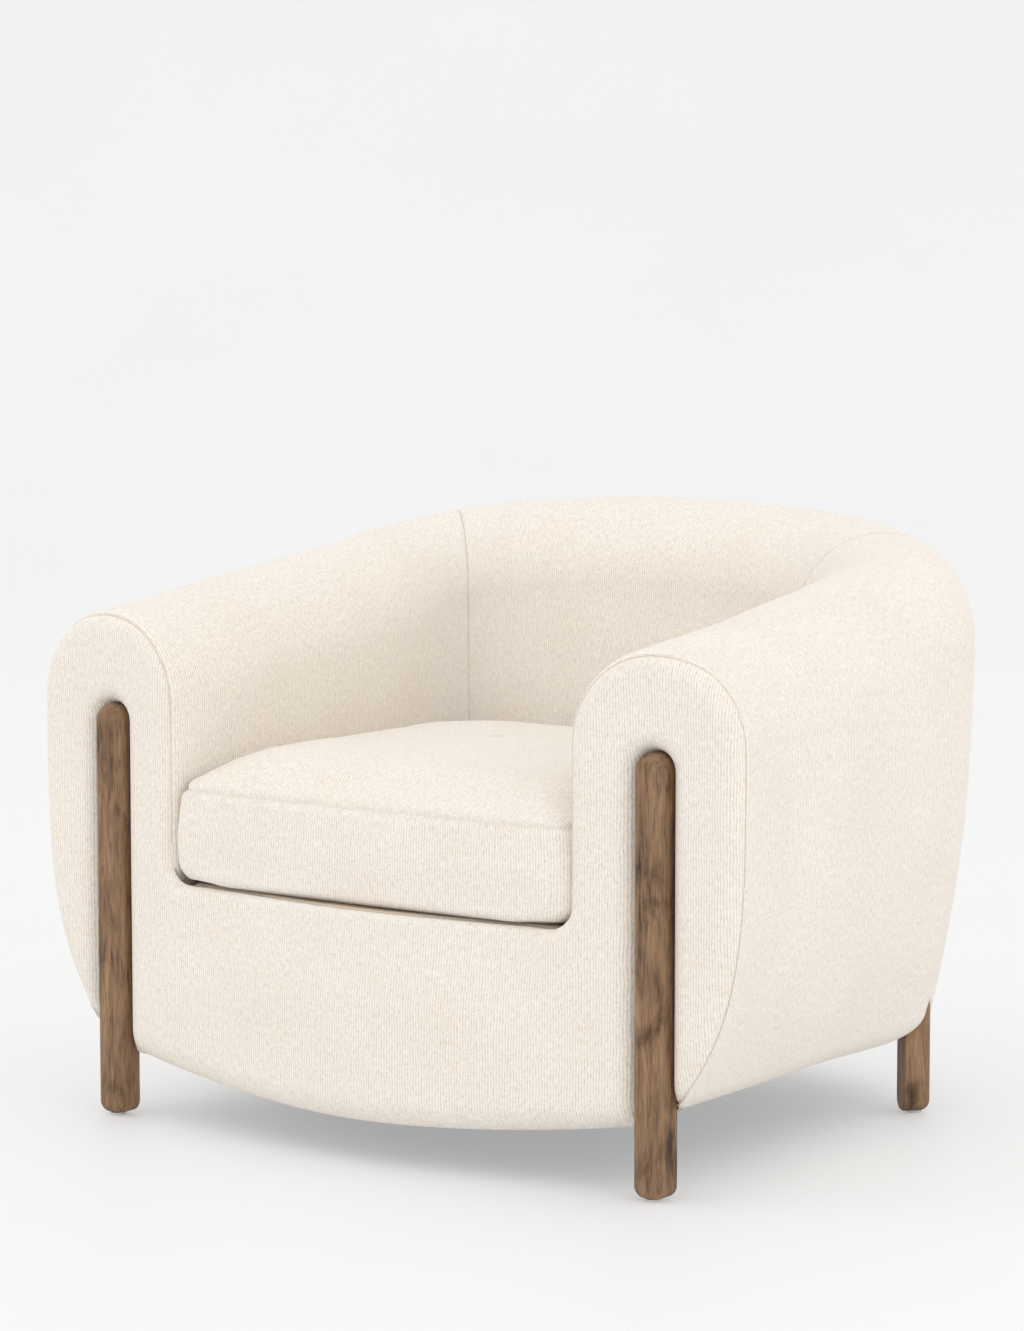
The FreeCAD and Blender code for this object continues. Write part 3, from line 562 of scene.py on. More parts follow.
def both_sides(grid, run):
    return np.minimum(nearest(grid, run)[0], nearest(grid, run * np.array([-1, 1]))[0])


def facing_rim():
    outer, _, inner, _, end = front_boundaries()
    return np.concatenate([outer[:-6][::-1], end[1:], inner[1:]])


def unrolled(grid):
    """Weave coordinates: the plane's, carried on round the rim's rounded edge."""
    points = np.abs(grid)
    distance, foot = nearest(points, facing_rim())
    turn = np.clip(1 - (distance + seam_inset(points[..., 0])) / EDGE_ROUND, 0, 1)
    toward = (foot - points) / np.maximum(distance, 1e-9)[..., None]
    toward[:, 0], toward[:, -1] = toward[:, 1], toward[:, -2]
    toward[0], toward[-1] = toward[1], toward[-2]
    moved = points + toward * (EDGE_ROUND * (np.arcsin(turn) - turn))[..., None]
    moved[..., 0] *= np.sign(grid[..., 0])
    return moved


def front_depth(grid):
    """How far back the front panel lies at each (x, z)."""
    x, z = grid[..., 0], grid[..., 1]
    _, belly, _, rail, _ = front_boundaries()
    rim = facing_rim()
    to_rim = both_sides(grid, rim)
    to_rail = both_sides(grid, rail)
    to_belly = both_sides(grid, belly)
    lean = RAIL_LEAN * smooth(*LEAN_HEIGHTS, z) * (1 - smooth(*LEAN_ENDS, np.abs(x)))
    edge = np.sqrt(rounding(to_rim + seam_inset(x), EDGE_ROUND)**2
                   + rounding(to_rail, RAIL_ROUND)**2 + rounding(to_belly, BELLY_ROUND)**2)
    y = FRONT + front_bow(x) + lean + np.minimum(edge, BELLY_ROUND)
    y = y + crease(to_rim)
    # inside a leg's outline the fabric is set far back, behind the leg's face
    d = leg_distance(x, z)
    y = y + groove(x, z)
    return np.where(d < 0, y + 0.008 * np.clip(-d / 0.004, 0, 1), y)


def front_piece():
    outer, belly, inner, rail, end = front_boundaries()
    down, across, width = 150, 96, 78
    left = np.concatenate([resample(outer, down), resample(belly, across)[1:]])
    right = np.concatenate([resample(inner, down), resample(rail, across)[1:]])
    top = resample(end, width)
    bottom = np.stack([np.zeros(width), np.linspace(left[-1][1], right[-1][1], width)], 1)
    half = coons(top, bottom, left, right)
    other = half[::-1][1:] * np.array([-1, 1])
    grid = np.concatenate([half, other])
    y = front_depth(grid)
    p = np.stack([grid[..., 0], y, grid[..., 1]], -1)
    away = smooth(0.0, 0.03, leg_distance(p[..., 0], p[..., 2]))
    p[..., 1] += FRONT_UNEVEN * ripple(p, FRONT_WAVE, 21) * away
    inner_p = p + np.array([0, SKIN, 0])
    mid = (p[:-1, :-1] + p[1:, 1:]) / 2
    keep = leg_distance(mid[..., 0], mid[..., 2]) > -SLOT_INSIDE
    return closed_skin("front_cover_skin", p, inner_p, unrolled(grid), keep)


front = front_piece()

# ---- loose cushion ---------------------------------------------------------------------------
CUSHION_FRONT_ROUND = 0.028
CUSHION_AHEAD = 0.008
CUSHION_SPREAD = 0.004
SEAM_IN = 0.007
CUSHION_REAR_ROUND = 0.125
CUSHION_NARROW = 0.016
CUSHION_BOW = 0.012
CROWN = 0.041
CROWN_POWER = (3, 0.55)
BOXING_SWELL = 0.0085
SEAM_TOP = BOXING[1][2] + 0.002
SEAM_LOW = CUSHION_LOW[2] + 0.0020
LOW_ROUND = (0.006, 0.024)
LOW_ROUND_FROM = (0.20, 0.262)


def plan_outline(inset, count):
    """Closed plan outline of the cushion, evenly spaced, starting at the front middle."""
    wide = HALF_WIDTH - ARM_THICK + CUSHION_SPREAD - inset
    narrow = wide - CUSHION_NARROW
    back_y = CUSHION_HIGH[1] - inset
    front_y = CUSHION_LOW[1] + CUSHION_BOW - CUSHION_AHEAD + inset
    corners = [((wide, front_y), CUSHION_FRONT_ROUND), ((narrow, back_y), CUSHION_REAR_ROUND),
               ((-narrow, back_y), CUSHION_REAR_ROUND), ((-wide, front_y), CUSHION_FRONT_ROUND)]
    points = []
    for k, (corner, radius) in enumerate(corners):
        radius = max(radius - inset, 0.004)
        here = np.array(corner)
        before = np.array(corners[k - 1][0]) - here
        after = np.array(corners[(k + 1) % 4][0]) - here
        before, after = before / np.linalg.norm(before), after / np.linalg.norm(after)
        half = math.acos(float(before @ after)) / 2
        cut = radius / math.tan(half)
        bisector = (before + after) / np.linalg.norm(before + after)
        centre = here + bisector * radius / math.sin(half)
        a, b = here + before * cut - centre, here + after * cut - centre
        first = math.atan2(a[1], a[0])
        last = math.atan2(b[1], b[0])
        while last < first:
            last += 2 * math.pi
        for angle in np.linspace(first, last, 24):
            points.append(centre + radius * np.array([math.cos(angle), math.sin(angle)]))
    points = np.array(points)
    closed = np.concatenate([points, points[:1]])
    line = resample(closed, count + 1)[:-1]
    bow = CUSHION_BOW * np.clip(1 - (line[:, 0] / wide)**2, 0, 1)
    line[:, 1] -= bow * smooth(front_y + 0.07, front_y + 0.01, line[:, 1])
    return line


AROUND = 420
PROFILE_TOP = 46
PROFILE_SIDE = 22
SEAM_ROWS = (PROFILE_TOP - 1, PROFILE_TOP + PROFILE_SIDE - 2)
SEAM_HOLD = 0.25
SEAM_HOLD_REACH = 0.045
TOP_SHARE = 0.62
BOXING_SHARE = 0.28
CUSHION_DIP = 0.0020
CUSHION_DIP_REACH = 0.007
CUSHION_RIDGE = 0.0012
CUSHION_UNEVEN = 0.0014
CUSHION_WAVE = 0.16
WIDTH_LIMIT_IN = 0.0008
FRONT_SPREAD = 0.008
SPREAD_FROM = (-0.340, -0.362)


def cushion_rings():
    """Rings from the top's middle over the boxing to the underside's middle."""
    rim = plan_outline(0.0, AROUND)
    middle = np.array([0.0, (CUSHION_LOW[1] + CUSHION_HIGH[1]) / 2])
    near_corner = smooth(*LOW_ROUND_FROM, np.abs(rim[:, 0]))
    low_round = LOW_ROUND[0] + (LOW_ROUND[1] - LOW_ROUND[0]) * near_corner
    direction = (rim - middle) / np.linalg.norm(rim - middle, axis=1)[:, None]
    top_rim = rim - direction * SEAM_IN
    rings = []
    marks = []
    for r in np.sin(np.linspace(0.02, 1.0, PROFILE_TOP) * math.pi / 2):
        xy = middle + (top_rim - middle) * r
        z = SEAM_TOP + CROWN * (1 - r**CROWN_POWER[0])**CROWN_POWER[1] + 0 * xy[:, 0]
        rings.append(np.column_stack([xy, z]))
        marks.append("top")
    for t in np.linspace(0, 1, PROFILE_SIDE)[1:]:
        z = SEAM_TOP + (SEAM_LOW - SEAM_TOP) * t + 0 * rim[:, 0]
        swell = BOXING_SWELL * math.sin(math.pi * t)**0.7
        swell = swell - rounding(z - SEAM_LOW, low_round) - SEAM_IN * (1 - t)**3
        xy = rim + direction * swell[:, None]
        rings.append(np.column_stack([xy, z]))
        marks.append("side")
    for r in np.linspace(1.0, 0.02, PROFILE_TOP)[1:]:
        shrink = (low_round / np.linalg.norm(rim - middle, axis=1))[:, None]
        xy = middle + (rim - middle) * r * (1 - shrink)
        round_in = np.clip((1 - r) / 0.05, 0, 1)
        z = SEAM_LOW - (SEAM_LOW - CUSHION_LOW[2] - 0.0006) * np.sqrt(1 - (1 - round_in)**2)
        rings.append(np.column_stack([xy, z + 0 * xy[:, 0]]))
        marks.append("under")
    return np.array(rings), marks


def ring_mesh(name, rings):
    count, around = rings.shape[:2]
    verts = list(rings.reshape(-1, 3))
    faces = []
    for i in range(count - 1):
        for j in range(around):
            a, b = i * around + j, i * around + (j + 1) % around
            faces.append((a, a + around, b + around, b))
    verts.append(rings[0].mean(axis=0))
    verts.append(rings[-1].mean(axis=0))
    top, low = len(verts) - 2, len(verts) - 1
    last = (count - 1) * around
    for j in range(around):
        k = (j + 1) % around
        faces.append((top, j, k))
        faces.append((low, last + k, last + j))
    return new_object(name, verts, faces)


def inflate(rings, voxel=0.008, pressure=4.0, cap=0.024):
    """Cloth simulation of the stuffed cushion: how each remeshed point moves."""
    body = ring_mesh("sim_body", rings)
    remesh = body.modifiers.new("remesh", "REMESH")
    remesh.mode = "VOXEL"
    remesh.voxel_size = voxel
    bpy.context.view_layer.objects.active = body
    bpy.ops.object.modifier_apply(modifier=remesh.name)
    rest = coords(body.data)
    cloth = body.modifiers.new("cloth", "CLOTH")
    settings = cloth.settings
    settings.quality = 6
    settings.mass = 0.35
    settings.tension_stiffness = 18
    settings.compression_stiffness = 18
    settings.bending_stiffness = 1.2
    settings.use_pressure = True
    settings.uniform_pressure_force = pressure
    settings.effector_weights.gravity = 0
    cloth.collision_settings.use_self_collision = False
    cloth.point_cache.frame_start = 1
    cloth.point_cache.frame_end = 20
    for step in range(1, 21):
        bpy.context.scene.frame_set(step)
    moved = body.evaluated_get(bpy.context.evaluated_depsgraph_get())
    shape = coords(moved.to_mesh()) - rest
    moved.to_mesh_clear()
    bpy.context.scene.frame_set(1)
    size = np.linalg.norm(shape, axis=1)
    shape *= np.minimum(1, cap / np.maximum(size, 1e-9))[:, None]
    bpy.data.objects.remove(body)
    return rest, shape


def carry(points, rest, shape, near=8):
    tree = kdtree.KDTree(len(rest))
    for k, p in enumerate(rest):
        tree.insert(p, k)
    tree.balance()
    out = np.zeros_like(points)
    for i, p in enumerate(points):
        found = tree.find_n(Vector(p), near)
        weight = np.array([1 / (f[2] + 0.003) for f in found])
        out[i] = (shape[[f[1] for f in found]] * weight[:, None]).sum(0) / weight.sum()
    return out


def cushion_piece():
    rings, marks = cushion_rings()
    flat = rings.reshape(-1, 3)
    rest, shape = inflate(rings)
    move = carry(flat, rest, shape)
    move = move.reshape(rings.shape)
    # the seams hold the fabric back
    arc = np.linalg.norm(np.diff(rings, axis=0), axis=2).mean(axis=1)
    at = np.concatenate([[0], np.cumsum(arc)])
    hold = np.ones(len(at))
    for row in SEAM_ROWS:
        free = smooth(0.0, SEAM_HOLD_REACH, np.abs(at - at[row]))
        hold = np.minimum(hold, SEAM_HOLD + (1 - SEAM_HOLD) * free)
    side = np.array([m == "side" for m in marks])
    share = np.where(side, BOXING_SHARE, TOP_SHARE)
    shaped = rings + move * hold[:, None, None] * share[:, None, None]
    normal = grid_normals(np.concatenate([shaped, shaped[:, :1]], 1))[:, :-1]
    centre = shaped.reshape(-1, 3).mean(0)
    normal *= np.sign(np.sum(normal * (shaped - centre), axis=2).mean())
    dent = np.zeros(len(at))
    for row in SEAM_ROWS:
        gap = np.abs(at - at[row])
        dent += CUSHION_DIP * np.clip(1 - gap / CUSHION_DIP_REACH, 0, 1)**2
        dent -= CUSHION_RIDGE * np.exp(-((gap - 0.010) / 0.004)**2)
    off_seam = smooth(0.0, 0.05, np.abs(at - at[SEAM_ROWS[0]]))[:, None]
    uneven = CUSHION_UNEVEN * ripple(shaped, CUSHION_WAVE, 31) * off_seam
    shaped = shaped + normal * (uneven - dent[:, None])[..., None]
    # it lies flat on the deck; its width is held to the nominal gap between the arms, but it
    # still cuts into the arm covers at rest, up to about 4 mm at the front corners
    under = np.array([m == "under" for m in marks])
    shaped[under, :, 2] = rings[under, :, 2]
    limit = HALF_WIDTH - ARM_THICK - WIDTH_LIMIT_IN
    limit = limit + FRONT_SPREAD * smooth(*SPREAD_FROM, shaped[..., 1])
    shaped[..., 0] = np.clip(shaped[..., 0], -limit, limit)
    # pocket for the zip in the rear boxing
    tape_low, tape_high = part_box("zip_tape")
    pocket = (smooth(tape_high[0] + 0.006, tape_high[0], np.abs(shaped[..., 0]))
              * smooth(tape_high[2] + 0.005, tape_high[2], shaped[..., 2])
              * smooth(tape_low[2] - 0.005, tape_low[2], shaped[..., 2])
              * (shaped[..., 1] > tape_low[1] - 0.04))
    behind = np.maximum(shaped[..., 1] - (tape_low[1] + 0.0002), 0)
    shaped[..., 1] -= pocket * behind
    rear = CUSHION_HIGH[1] + 0.006
    shaped[..., 1] = np.minimum(shaped[..., 1], rear)
    shaped[..., 2] = np.maximum(shaped[..., 2], CUSHION_LOW[2] + 0.0004)
    obj = ring_mesh("cushion_skin", shaped)
    # weave coordinates: run out from the middle on top, round the boxing, in plan beneath
    mesh = obj.data
    layer = mesh.uv_layers.new(name="weave")
    around = shaped.shape[1]
    rim = shaped[PROFILE_TOP - 1]
    closed = np.concatenate([rim, rim[:1]])
    run = np.concatenate([[0], np.cumsum(np.linalg.norm(np.diff(closed, axis=0), axis=1))])
    co = coords(mesh)
    panel = shaped[:PROFILE_TOP]
    from_middle = panel[..., :2] - panel[0, :, :2].mean(axis=0)
    reach = np.linalg.norm(from_middle, axis=2)
    steps = np.linalg.norm(np.diff(panel, axis=0), axis=2)
    unrolled_reach = reach[:1] + np.concatenate([np.zeros((1, around)), np.cumsum(steps, 0)])
    top_uv = (from_middle / reach[..., None] * unrolled_reach[..., None]).reshape(-1, 2)
    for poly in mesh.polygons:
        row = min(poly.vertices) // around
        wraps = any(v % around == around - 1 for v in poly.vertices)
        on_side = SEAM_ROWS[0] <= row < SEAM_ROWS[1]
        for corner, vertex in zip(poly.loop_indices, poly.vertices):
            if on_side:
                j = vertex % around
                j = around if wraps and j == 0 else j
                layer.data[corner].uv = (run[j], co[vertex][2])
            elif vertex < PROFILE_TOP * around:
                layer.data[corner].uv = top_uv[vertex]
            else:
                layer.data[corner].uv = (co[vertex][0], co[vertex][1])
    return obj, shaped


cushion, cushion_shape = cushion_piece()

# ---- deck under the cushion -----------------------------------------------------------------
DECK_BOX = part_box("deck_cover")
DECK_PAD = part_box("deck_pad")
DECK_CLEAR = 0.0055
DECK_SAG = 0.0025
DECK_ROUND = 0.006
DECK_SPAN = 0.27
DECK_TOP_RINGS = 60
DECK_START = 0.012


def deck_piece():
    """Padded deck: a soft slab with a tucked edge that fills the well."""
    stations = np.linspace(DECK_START, 2 * HALF_LENGTH - DECK_START, 150)
    x, y, turn = plan(stations)
    n = section(stations, "inner", np.array([1.0]))[0][:, 0] - DECK_CLEAR
    rim = np.stack([x + n * np.cos(turn), y + n * np.sin(turn)], 1)
    front_x = np.linspace(rim[-1][0], rim[0][0], 60)[1:-1]
    front_y = FRONT + front_bow(front_x) + RAIL_LEAN + RAIL_ROUND + SKIN
    front_run = np.stack([front_x, front_y], 1)
    rim = np.concatenate([rim, front_run])
    middle = np.array([0.0, -0.08])
    rings = []
    top, low = DECK_BOX[1][2], DECK_PAD[0][2]
    for r in np.linspace(0.03, 1.0, DECK_TOP_RINGS):
        xy = middle + (rim - middle) * r
        edge = float(rounding((1 - r) * DECK_SPAN, DECK_ROUND))
        z = top - edge - DECK_SAG * (1 - r**2)
        rings.append(np.column_stack([xy, z + 0 * xy[:, 0]]))
    for z in np.linspace(top - 0.008, low, 5):
        rings.append(np.column_stack([rim, z + 0 * rim[:, 0]]))
    for r in np.linspace(0.96, 0.03, 8):
        xy = middle + (rim - middle) * r
        rings.append(np.column_stack([xy, low + 0 * xy[:, 0]]))
    rings = np.array(rings)
    rings[:DECK_TOP_RINGS, :, 2] += 0.0006 * ripple(rings[:DECK_TOP_RINGS], 0.12, 41)
    rings[..., 2] = np.minimum(rings[..., 2], top)
    obj = ring_mesh("deck_skin", rings)
    co = coords(obj.data)
    layer = obj.data.uv_layers.new(name="weave")
    loops = np.zeros(len(obj.data.loops), int)
    obj.data.loops.foreach_get("vertex_index", loops)
    layer.data.foreach_set("uv", co[loops][:, :2].astype(np.float32).ravel())
    return obj


deck = deck_piece()

# ---- seam threads ------------------------------------------------------------------------------
THREAD = 0.0005
THREAD_SET_BACK = 0.0006


def facing_seam(side):
    """Along the joined edges of a facing and its arm cover."""
    outside = outer_run(0.5)[:-7][::-1]
    over = contour("roll", 0.5, 0.72, 14)[1:-1]
    run = np.concatenate([outside, over, inner_run()[:-9]])
    run = run[leg_distance(run[:, 0], run[:, 1]) > 0.002]
    seam = EDGE_ROUND * (1 - np.sin(seam_angle(run[:, 0])))
    y = FRONT + front_bow(run[:, 0]) + seam + groove(run[:, 0], run[:, 1]) + THREAD_SET_BACK
    return np.column_stack([run[:, 0] * side, y, run[:, 1]])


def rear_seam(side):
    p, _ = wall_surface(np.array([SEAM_STATION - 0.002, SEAM_STATION, SEAM_STATION + 0.002]),
                        STEP)
    normal = grid_normals(p)[1]
    p = p[1]
    normal *= np.sign(np.sum(normal * (p - p.mean(axis=0)), axis=1).mean())
    p = p - normal * (SEAM_DIP + 0.0001)
    p[:, 0] *= side
    return p


threads = []
for tag, side in (("right", 1), ("left", -1)):
    threads.append((tube("facing_seam_" + tag, facing_seam(side), THREAD), "chair"))
    threads.append((tube("rear_seam_" + tag, rear_seam(side), THREAD), "chair"))
for tag, row in zip(("top", "low"), SEAM_ROWS):
    ring = cushion_shape[row]
    ring = np.concatenate([ring, ring[:1]])
    threads.append((tube("cushion_seam_" + tag, ring, THREAD), "cushion"))

# ---- materials -----------------------------------------------------------------------------------


class Shader:
    """A material's node tree, with short calls for the nodes used here."""

    def __init__(self, name):
        self.material = bpy.data.materials.new(name)
        self.material.use_nodes = True
        self.nodes = self.material.node_tree.nodes
        self.links = self.material.node_tree.links
        self.main = self.nodes["Principled BSDF"]

    def add(self, kind, **values):
        node = self.nodes.new(kind)
        for key, value in values.items():
            if hasattr(node, key):
                setattr(node, key, value)
            else:
                node.inputs[key].default_value = value
        return node

    def link(self, a, b):
        self.links.new(a, b)

    def coords(self, output, scale):
        source = self.add("ShaderNodeTexCoord")
        mapping = self.add("ShaderNodeMapping")
        mapping.inputs["Scale"].default_value = scale
        self.link(source.outputs[output], mapping.inputs["Vector"])
        return mapping.outputs[0]

    def noise(self, vector, scale, detail=3.0, rough=0.55, distortion=0.0):
        node = self.add("ShaderNodeTexNoise")
        node.inputs["Scale"].default_value = scale
        node.inputs["Detail"].default_value = detail
        node.inputs["Roughness"].default_value = rough
        node.inputs["Distortion"].default_value = distortion
        self.link(vector, node.inputs["Vector"])
        return node.outputs["Fac"]

    def math(self, kind, a, b=None):
        node = self.add("ShaderNodeMath", operation=kind)
        for socket, value in ((0, a), (1, b)):
            if value is None:
                continue
            if isinstance(value, (int, float)):
                node.inputs[socket].default_value = value
            else:
                self.link(value, node.inputs[socket])
        return node.outputs[0]

    def ramp(self, value, stops):
        node = self.add("ShaderNodeValToRGB")
        while len(node.color_ramp.elements) < len(stops):
            node.color_ramp.elements.new(0.5)
        for element, (position, color) in zip(node.color_ramp.elements, stops):
            element.position = position
            element.color = tuple(color) + (1,)
        self.link(value, node.inputs[0])
        return node.outputs[0]

    def mix(self, factor, a, b, kind="MIX"):
        node = self.add("ShaderNodeMix", data_type="RGBA", blend_type=kind)
        for socket, value in ((0, factor), (6, a), (7, b)):
            if isinstance(value, (int, float)):
                node.inputs[socket].default_value = value
            elif isinstance(value, tuple):
                node.inputs[socket].default_value = value + (1,)
            else:
                self.link(value, node.inputs[socket])
        return node.outputs[2]

    def bump(self, height, strength, distance):
        node = self.add("ShaderNodeBump")
        node.inputs["Strength"].default_value = strength
        node.inputs["Distance"].default_value = distance
        self.link(height, node.inputs["Height"])
        self.link(node.outputs[0], self.main.inputs["Normal"])

    def color(self, value):
        self.link(value, self.main.inputs["Base Color"])

    def rough(self, value):
        if isinstance(value, (int, float)):
            self.main.inputs["Roughness"].default_value = value
        else:
            self.link(value, self.main.inputs["Roughness"])


def woven_cream(name, rib_width=0.0034, slub_length=0.0075):
    """Cream upholstery weave: uneven ribs along V, broken by slubs and a fine weft."""
    s = Shader(name)
    uv = s.add("ShaderNodeUVMap", uv_map="weave").outputs[0]
    wander = s.noise(uv, 40.0, 2.0)
    shift = s.math("MULTIPLY", s.math("SUBTRACT", wander, 0.5), 0.0036)
    parts = s.add("ShaderNodeSeparateXYZ")
    s.link(uv, parts.inputs[0])
    u = s.math("ADD", parts.outputs[0], shift)
    ribs = s.math("SINE", s.math("MULTIPLY", u, 2 * math.pi / rib_width))
    rib = s.math("ADD", s.math("MULTIPLY", ribs, 0.5), 0.5)
    joined = s.add("ShaderNodeCombineXYZ")
    s.link(s.math("MULTIPLY", u, 1 / rib_width), joined.inputs[0])
    s.link(s.math("MULTIPLY", parts.outputs[1], 1 / slub_length), joined.inputs[1])
    slub = s.noise(joined.outputs[0], 1.0, 4.0, 0.65)
    fine = s.add("ShaderNodeCombineXYZ")
    s.link(s.math("MULTIPLY", u, 1 / (rib_width * 0.42)), fine.inputs[0])
    s.link(s.math("MULTIPLY", parts.outputs[1], 1 / 0.0024), fine.inputs[1])
    grain = s.noise(fine.outputs[0], 1.0, 3.0, 0.6)
    height = s.math("ADD", s.math("MULTIPLY", rib, 0.17),
                    s.math("ADD", s.math("MULTIPLY", slub, 0.40), s.math("MULTIPLY", grain, 0.40)))
    tone = s.ramp(height, [(0.28, (0.610, 0.520, 0.425)), (0.41, (0.800, 0.728, 0.640)),
                           (0.52, (0.900, 0.848, 0.778)), (0.65, (0.985, 0.960, 0.920))])
    patch = s.noise(uv, 9.0, 2.0)
    warm = s.ramp(patch, [(0.3, (0.98, 0.965, 0.945)), (0.7, (1.0, 1.0, 1.0))])
    s.color(s.mix(1.0, tone, warm, "MULTIPLY"))
    s.rough(0.92)
    s.main.inputs["Specular IOR Level"].default_value = 0.12
    s.main.inputs["Sheen Weight"].default_value = 0.18
    s.main.inputs["Sheen Roughness"].default_value = 0.5
    s.bump(height, 0.9, 0.0020)
    return s.material


def weathered_wood(name, light=(0.320, 0.192, 0.106), dark=(0.075, 0.041, 0.022)):
    """Matte brown timber: vertical grain, pale streaks and dark blots."""
    s = Shader(name)
    broad = s.noise(s.coords("Object", (1, 1, 0.10)), 95.0, 5.0, 0.66, 0.6)
    fine = s.noise(s.coords("Object", (1, 1, 0.04)), 620.0, 4.0, 0.7)
    pores = s.noise(s.coords("Object", (1, 1, 0.05)), 760.0, 2.0, 0.5)
    blots = s.noise(s.coords("Object", (1, 1, 0.40)), 32.0, 5.0, 0.6, 0.5)
    grain = s.math("ADD", s.math("MULTIPLY", broad, 0.50),
                   s.math("ADD", s.math("MULTIPLY", fine, 0.26), s.math("MULTIPLY", blots, 0.30)))
    middle = tuple((2 * a + b) / 3 for a, b in zip(light, dark))
    pale = tuple(min(1.0, a * 1.35) for a in light)
    tone = s.ramp(grain, [(0.40, dark), (0.51, middle), (0.60, light), (0.72, pale)])
    pore = s.ramp(pores, [(0.30, (0.42, 0.38, 0.36)), (0.47, (1, 1, 1))])
    shade = s.ramp(blots, [(0.32, (0.40, 0.36, 0.33)), (0.45, (0.90, 0.88, 0.86)),
                           (0.62, (1, 1, 1))])
    s.color(s.mix(0.85, s.mix(0.8, tone, pore, "MULTIPLY"), shade, "MULTIPLY"))
    s.rough(0.60)
    s.main.inputs["Specular IOR Level"].default_value = 0.3
    s.bump(s.math("ADD", fine, pores), 0.6, 0.0007)
    return s.material


def plain(name, color, rough, metal=0.0, scale=300.0, vary=0.15, depth=0.0002):
    """Small hidden part: one colour with fine mottling."""
    s = Shader(name)
    at = s.coords("Object", (1, 1, 1))
    speck = s.noise(at, scale, 3.0)
    dark = tuple(c * (1 - vary) for c in color)
    s.color(s.ramp(speck, [(0.3, dark), (0.7, color)]))
    s.rough(rough)
    s.main.inputs["Metallic"].default_value = metal
    s.bump(speck, 0.4, depth)
    return s.material


cream = woven_cream("cream_weave")
thread_look = plain("seam_thread", (0.74, 0.62, 0.50), 0.9, scale=1500.0)
light_thread = plain("light_thread", (0.85, 0.78, 0.69), 0.9, scale=1500.0)
looks = {
    "leg_wood": weathered_wood("leg_timber"),
    "glide": plain("glide_grey", (0.62, 0.62, 0.60), 0.55, scale=500.0),
    "frame_wood": weathered_wood("frame_timber", (0.62, 0.46, 0.28), (0.40, 0.26, 0.14)),
    "zinc_steel": plain("zinc_steel", (0.60, 0.60, 0.58), 0.35, 1.0),
    "spring_steel": plain("spring_steel", (0.20, 0.20, 0.21), 0.4, 1.0),
    "felt": plain("felt", (0.42, 0.41, 0.37), 0.95, scale=800.0, vary=0.4),
    "foam": plain("foam", (0.82, 0.76, 0.55), 0.95, scale=900.0, vary=0.25),
    "cream_fabric": cream,
    "deck_cloth": plain("deck_cloth", (0.80, 0.69, 0.56), 0.95, scale=1200.0, vary=0.25),
    "dust_cloth": plain("dust_cloth", (0.022, 0.022, 0.024), 0.9, scale=900.0, vary=0.5),
    "fibre": plain("fibre", (0.85, 0.85, 0.84), 0.95, scale=500.0),
    "zip_cloth": plain("zip_cloth", (0.66, 0.61, 0.53), 0.9, scale=1500.0, vary=0.3),
    "zip_plastic": plain("zip_plastic", (0.62, 0.57, 0.49), 0.45),
    "zip_metal": plain("zip_metal", (0.55, 0.53, 0.49), 0.3, 1.0),
}


def paint(obj, material):
    obj.data.materials.clear()
    obj.data.materials.append(material)


slot_of = {row["node"]: row["material_slot"] for row in frame["record"]["subparts"]}
for node, obj in frame["nodes"].items():
    paint(obj, looks[slot_of[node]])

for piece in (arm_right, arm_left, back, front, cushion):
    paint(piece, cream)
for piece, body in threads:
    paint(piece, thread_look if body == "chair" else light_thread)
    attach(piece, body)

paint(deck, looks["deck_cloth"])
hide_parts("deck_cover", "deck_pad")
for piece in (arm_right, arm_left, back, front, deck):
    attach(piece, "chair")
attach(cushion, "cushion")
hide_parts("arm_cover_right", "arm_pad_right")
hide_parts("arm_cover_left", "arm_pad_left")
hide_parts("back_cover", "back_pad")
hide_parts("front_cover", "front_pad")
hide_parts("cushion_top_panel", "cushion_bottom_panel", "cushion_boxing",
            "cushion_wrap", "cushion_core")

# ---- floor, backdrop, light, camera ------------------------------------------------------------


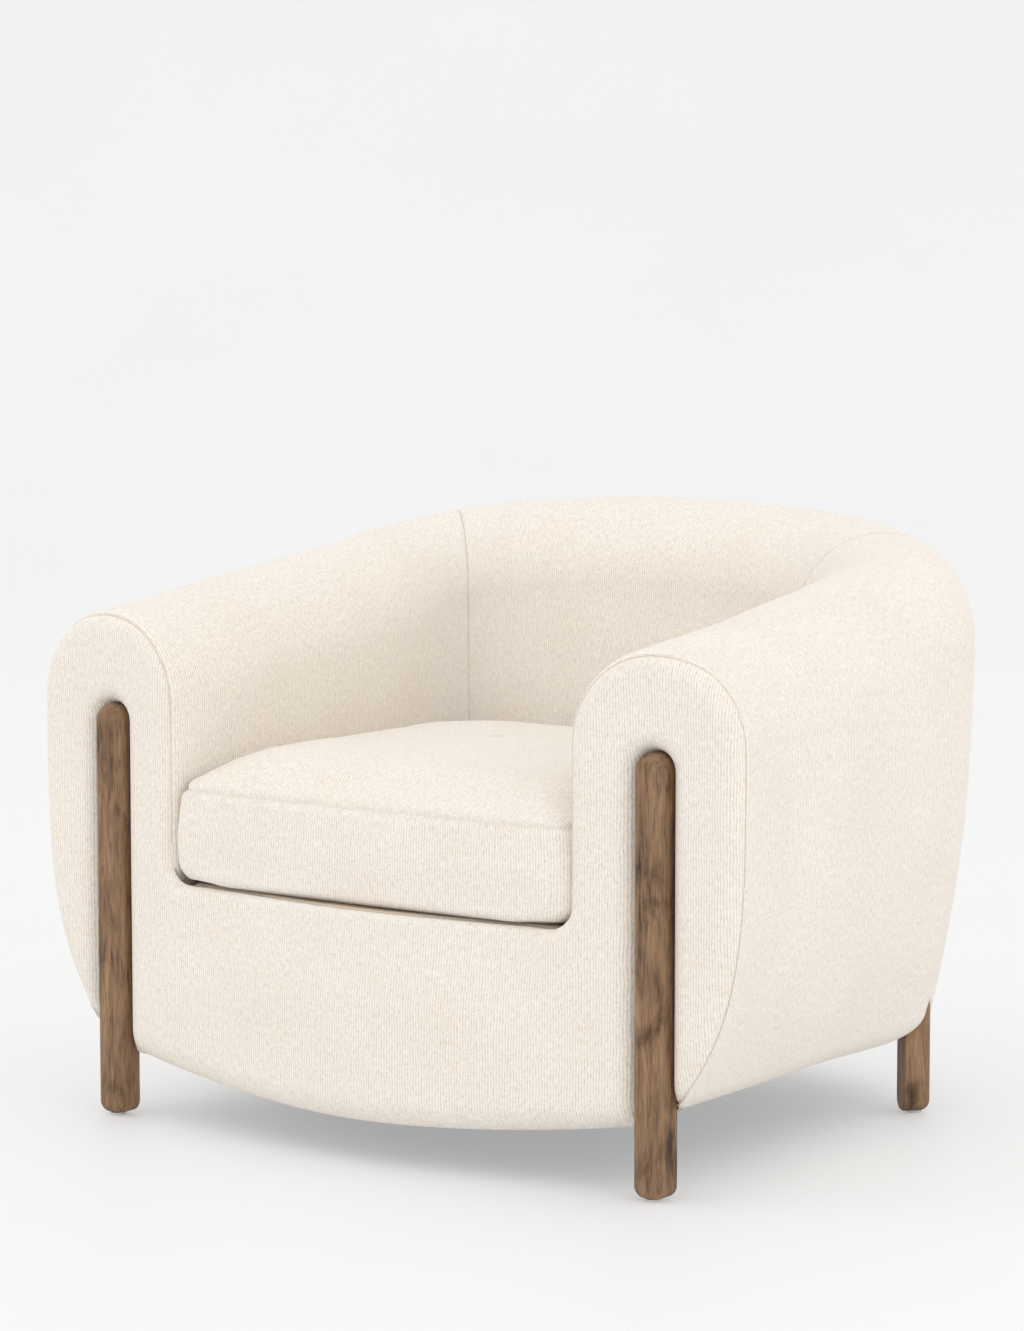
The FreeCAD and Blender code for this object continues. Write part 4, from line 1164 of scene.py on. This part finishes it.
def studio_floor():
    """Pale floor that curves up into a backdrop behind the chair."""
    depth, rise, radius, reach = 7.0, 6.0, 2.5, 40.0
    profile = [(-reach, 0.0), (depth - radius, 0.0)]
    for a in np.linspace(0, math.pi / 2, 24)[1:]:
        profile.append((depth - radius + radius * math.sin(a), radius * (1 - math.cos(a))))
    profile.append((depth, rise))
    turn = math.radians(35.0)
    verts = []
    for x in (-reach, reach):
        for y, z in profile:
            verts.append((x * math.cos(turn) - y * math.sin(turn),
                          x * math.sin(turn) + y * math.cos(turn), z))
    n = len(profile)
    faces = [(k, k + 1, n + k + 1, n + k) for k in range(n - 1)]
    obj = new_object("studio_floor", verts, faces)
    s = Shader("studio_paper")
    at = s.coords("Object", (1, 1, 1))
    shade = [(0.3, (0.495, 0.495, 0.495)), (0.7, (0.505, 0.505, 0.505))]
    s.color(s.ramp(s.noise(at, 1.5, 2.0), shade))
    s.main.inputs["Emission Color"].default_value = (1, 1, 1, 1)
    s.main.inputs["Emission Strength"].default_value = 0.345
    s.rough(0.6)
    paint(obj, s.material)
    return obj


studio_floor()


def area_light(name, place, target, size, power):
    data = bpy.data.lights.new(name, "AREA")
    data.shape = "SQUARE"
    data.size = size
    data.energy = power
    obj = bpy.data.objects.new(name, data)
    bpy.context.collection.objects.link(obj)
    obj.location = place
    obj.rotation_euler = (Vector(target) - Vector(place)).to_track_quat("-Z", "Y").to_euler()
    return obj


area_light("overhead", (-0.8, -0.6, 3.6), (0, 0, 0.3), 3.2, 2)
area_light("left_window", (-3.2, -2.4, 2.2), (0, 0, 0.4), 2.6, 14)
area_light("right_fill", (3.6, -1.2, 1.8), (0, 0.2, 0.4), 2.6, 15)

world = bpy.data.worlds.new("studio_air")
world.use_nodes = True
world.node_tree.nodes["Background"].inputs[0].default_value = (1, 1, 1, 1)
world.node_tree.nodes["Background"].inputs[1].default_value = 1.09
bpy.context.scene.world = world
bpy.context.scene.view_settings.view_transform = "Standard"

camera_data = bpy.data.cameras.new("camera")
camera_data.sensor_fit = "VERTICAL"
camera_data.sensor_height = 36.0
camera_data.lens = 114.65
camera_data.clip_end = 100
camera = bpy.data.objects.new("camera", camera_data)
bpy.context.collection.objects.link(camera)
camera.location = (2.846, -4.120, 1.083)
camera.rotation_euler = (math.radians(90 - 6.34), 0, math.radians(35.19))
bpy.context.scene.camera = camera
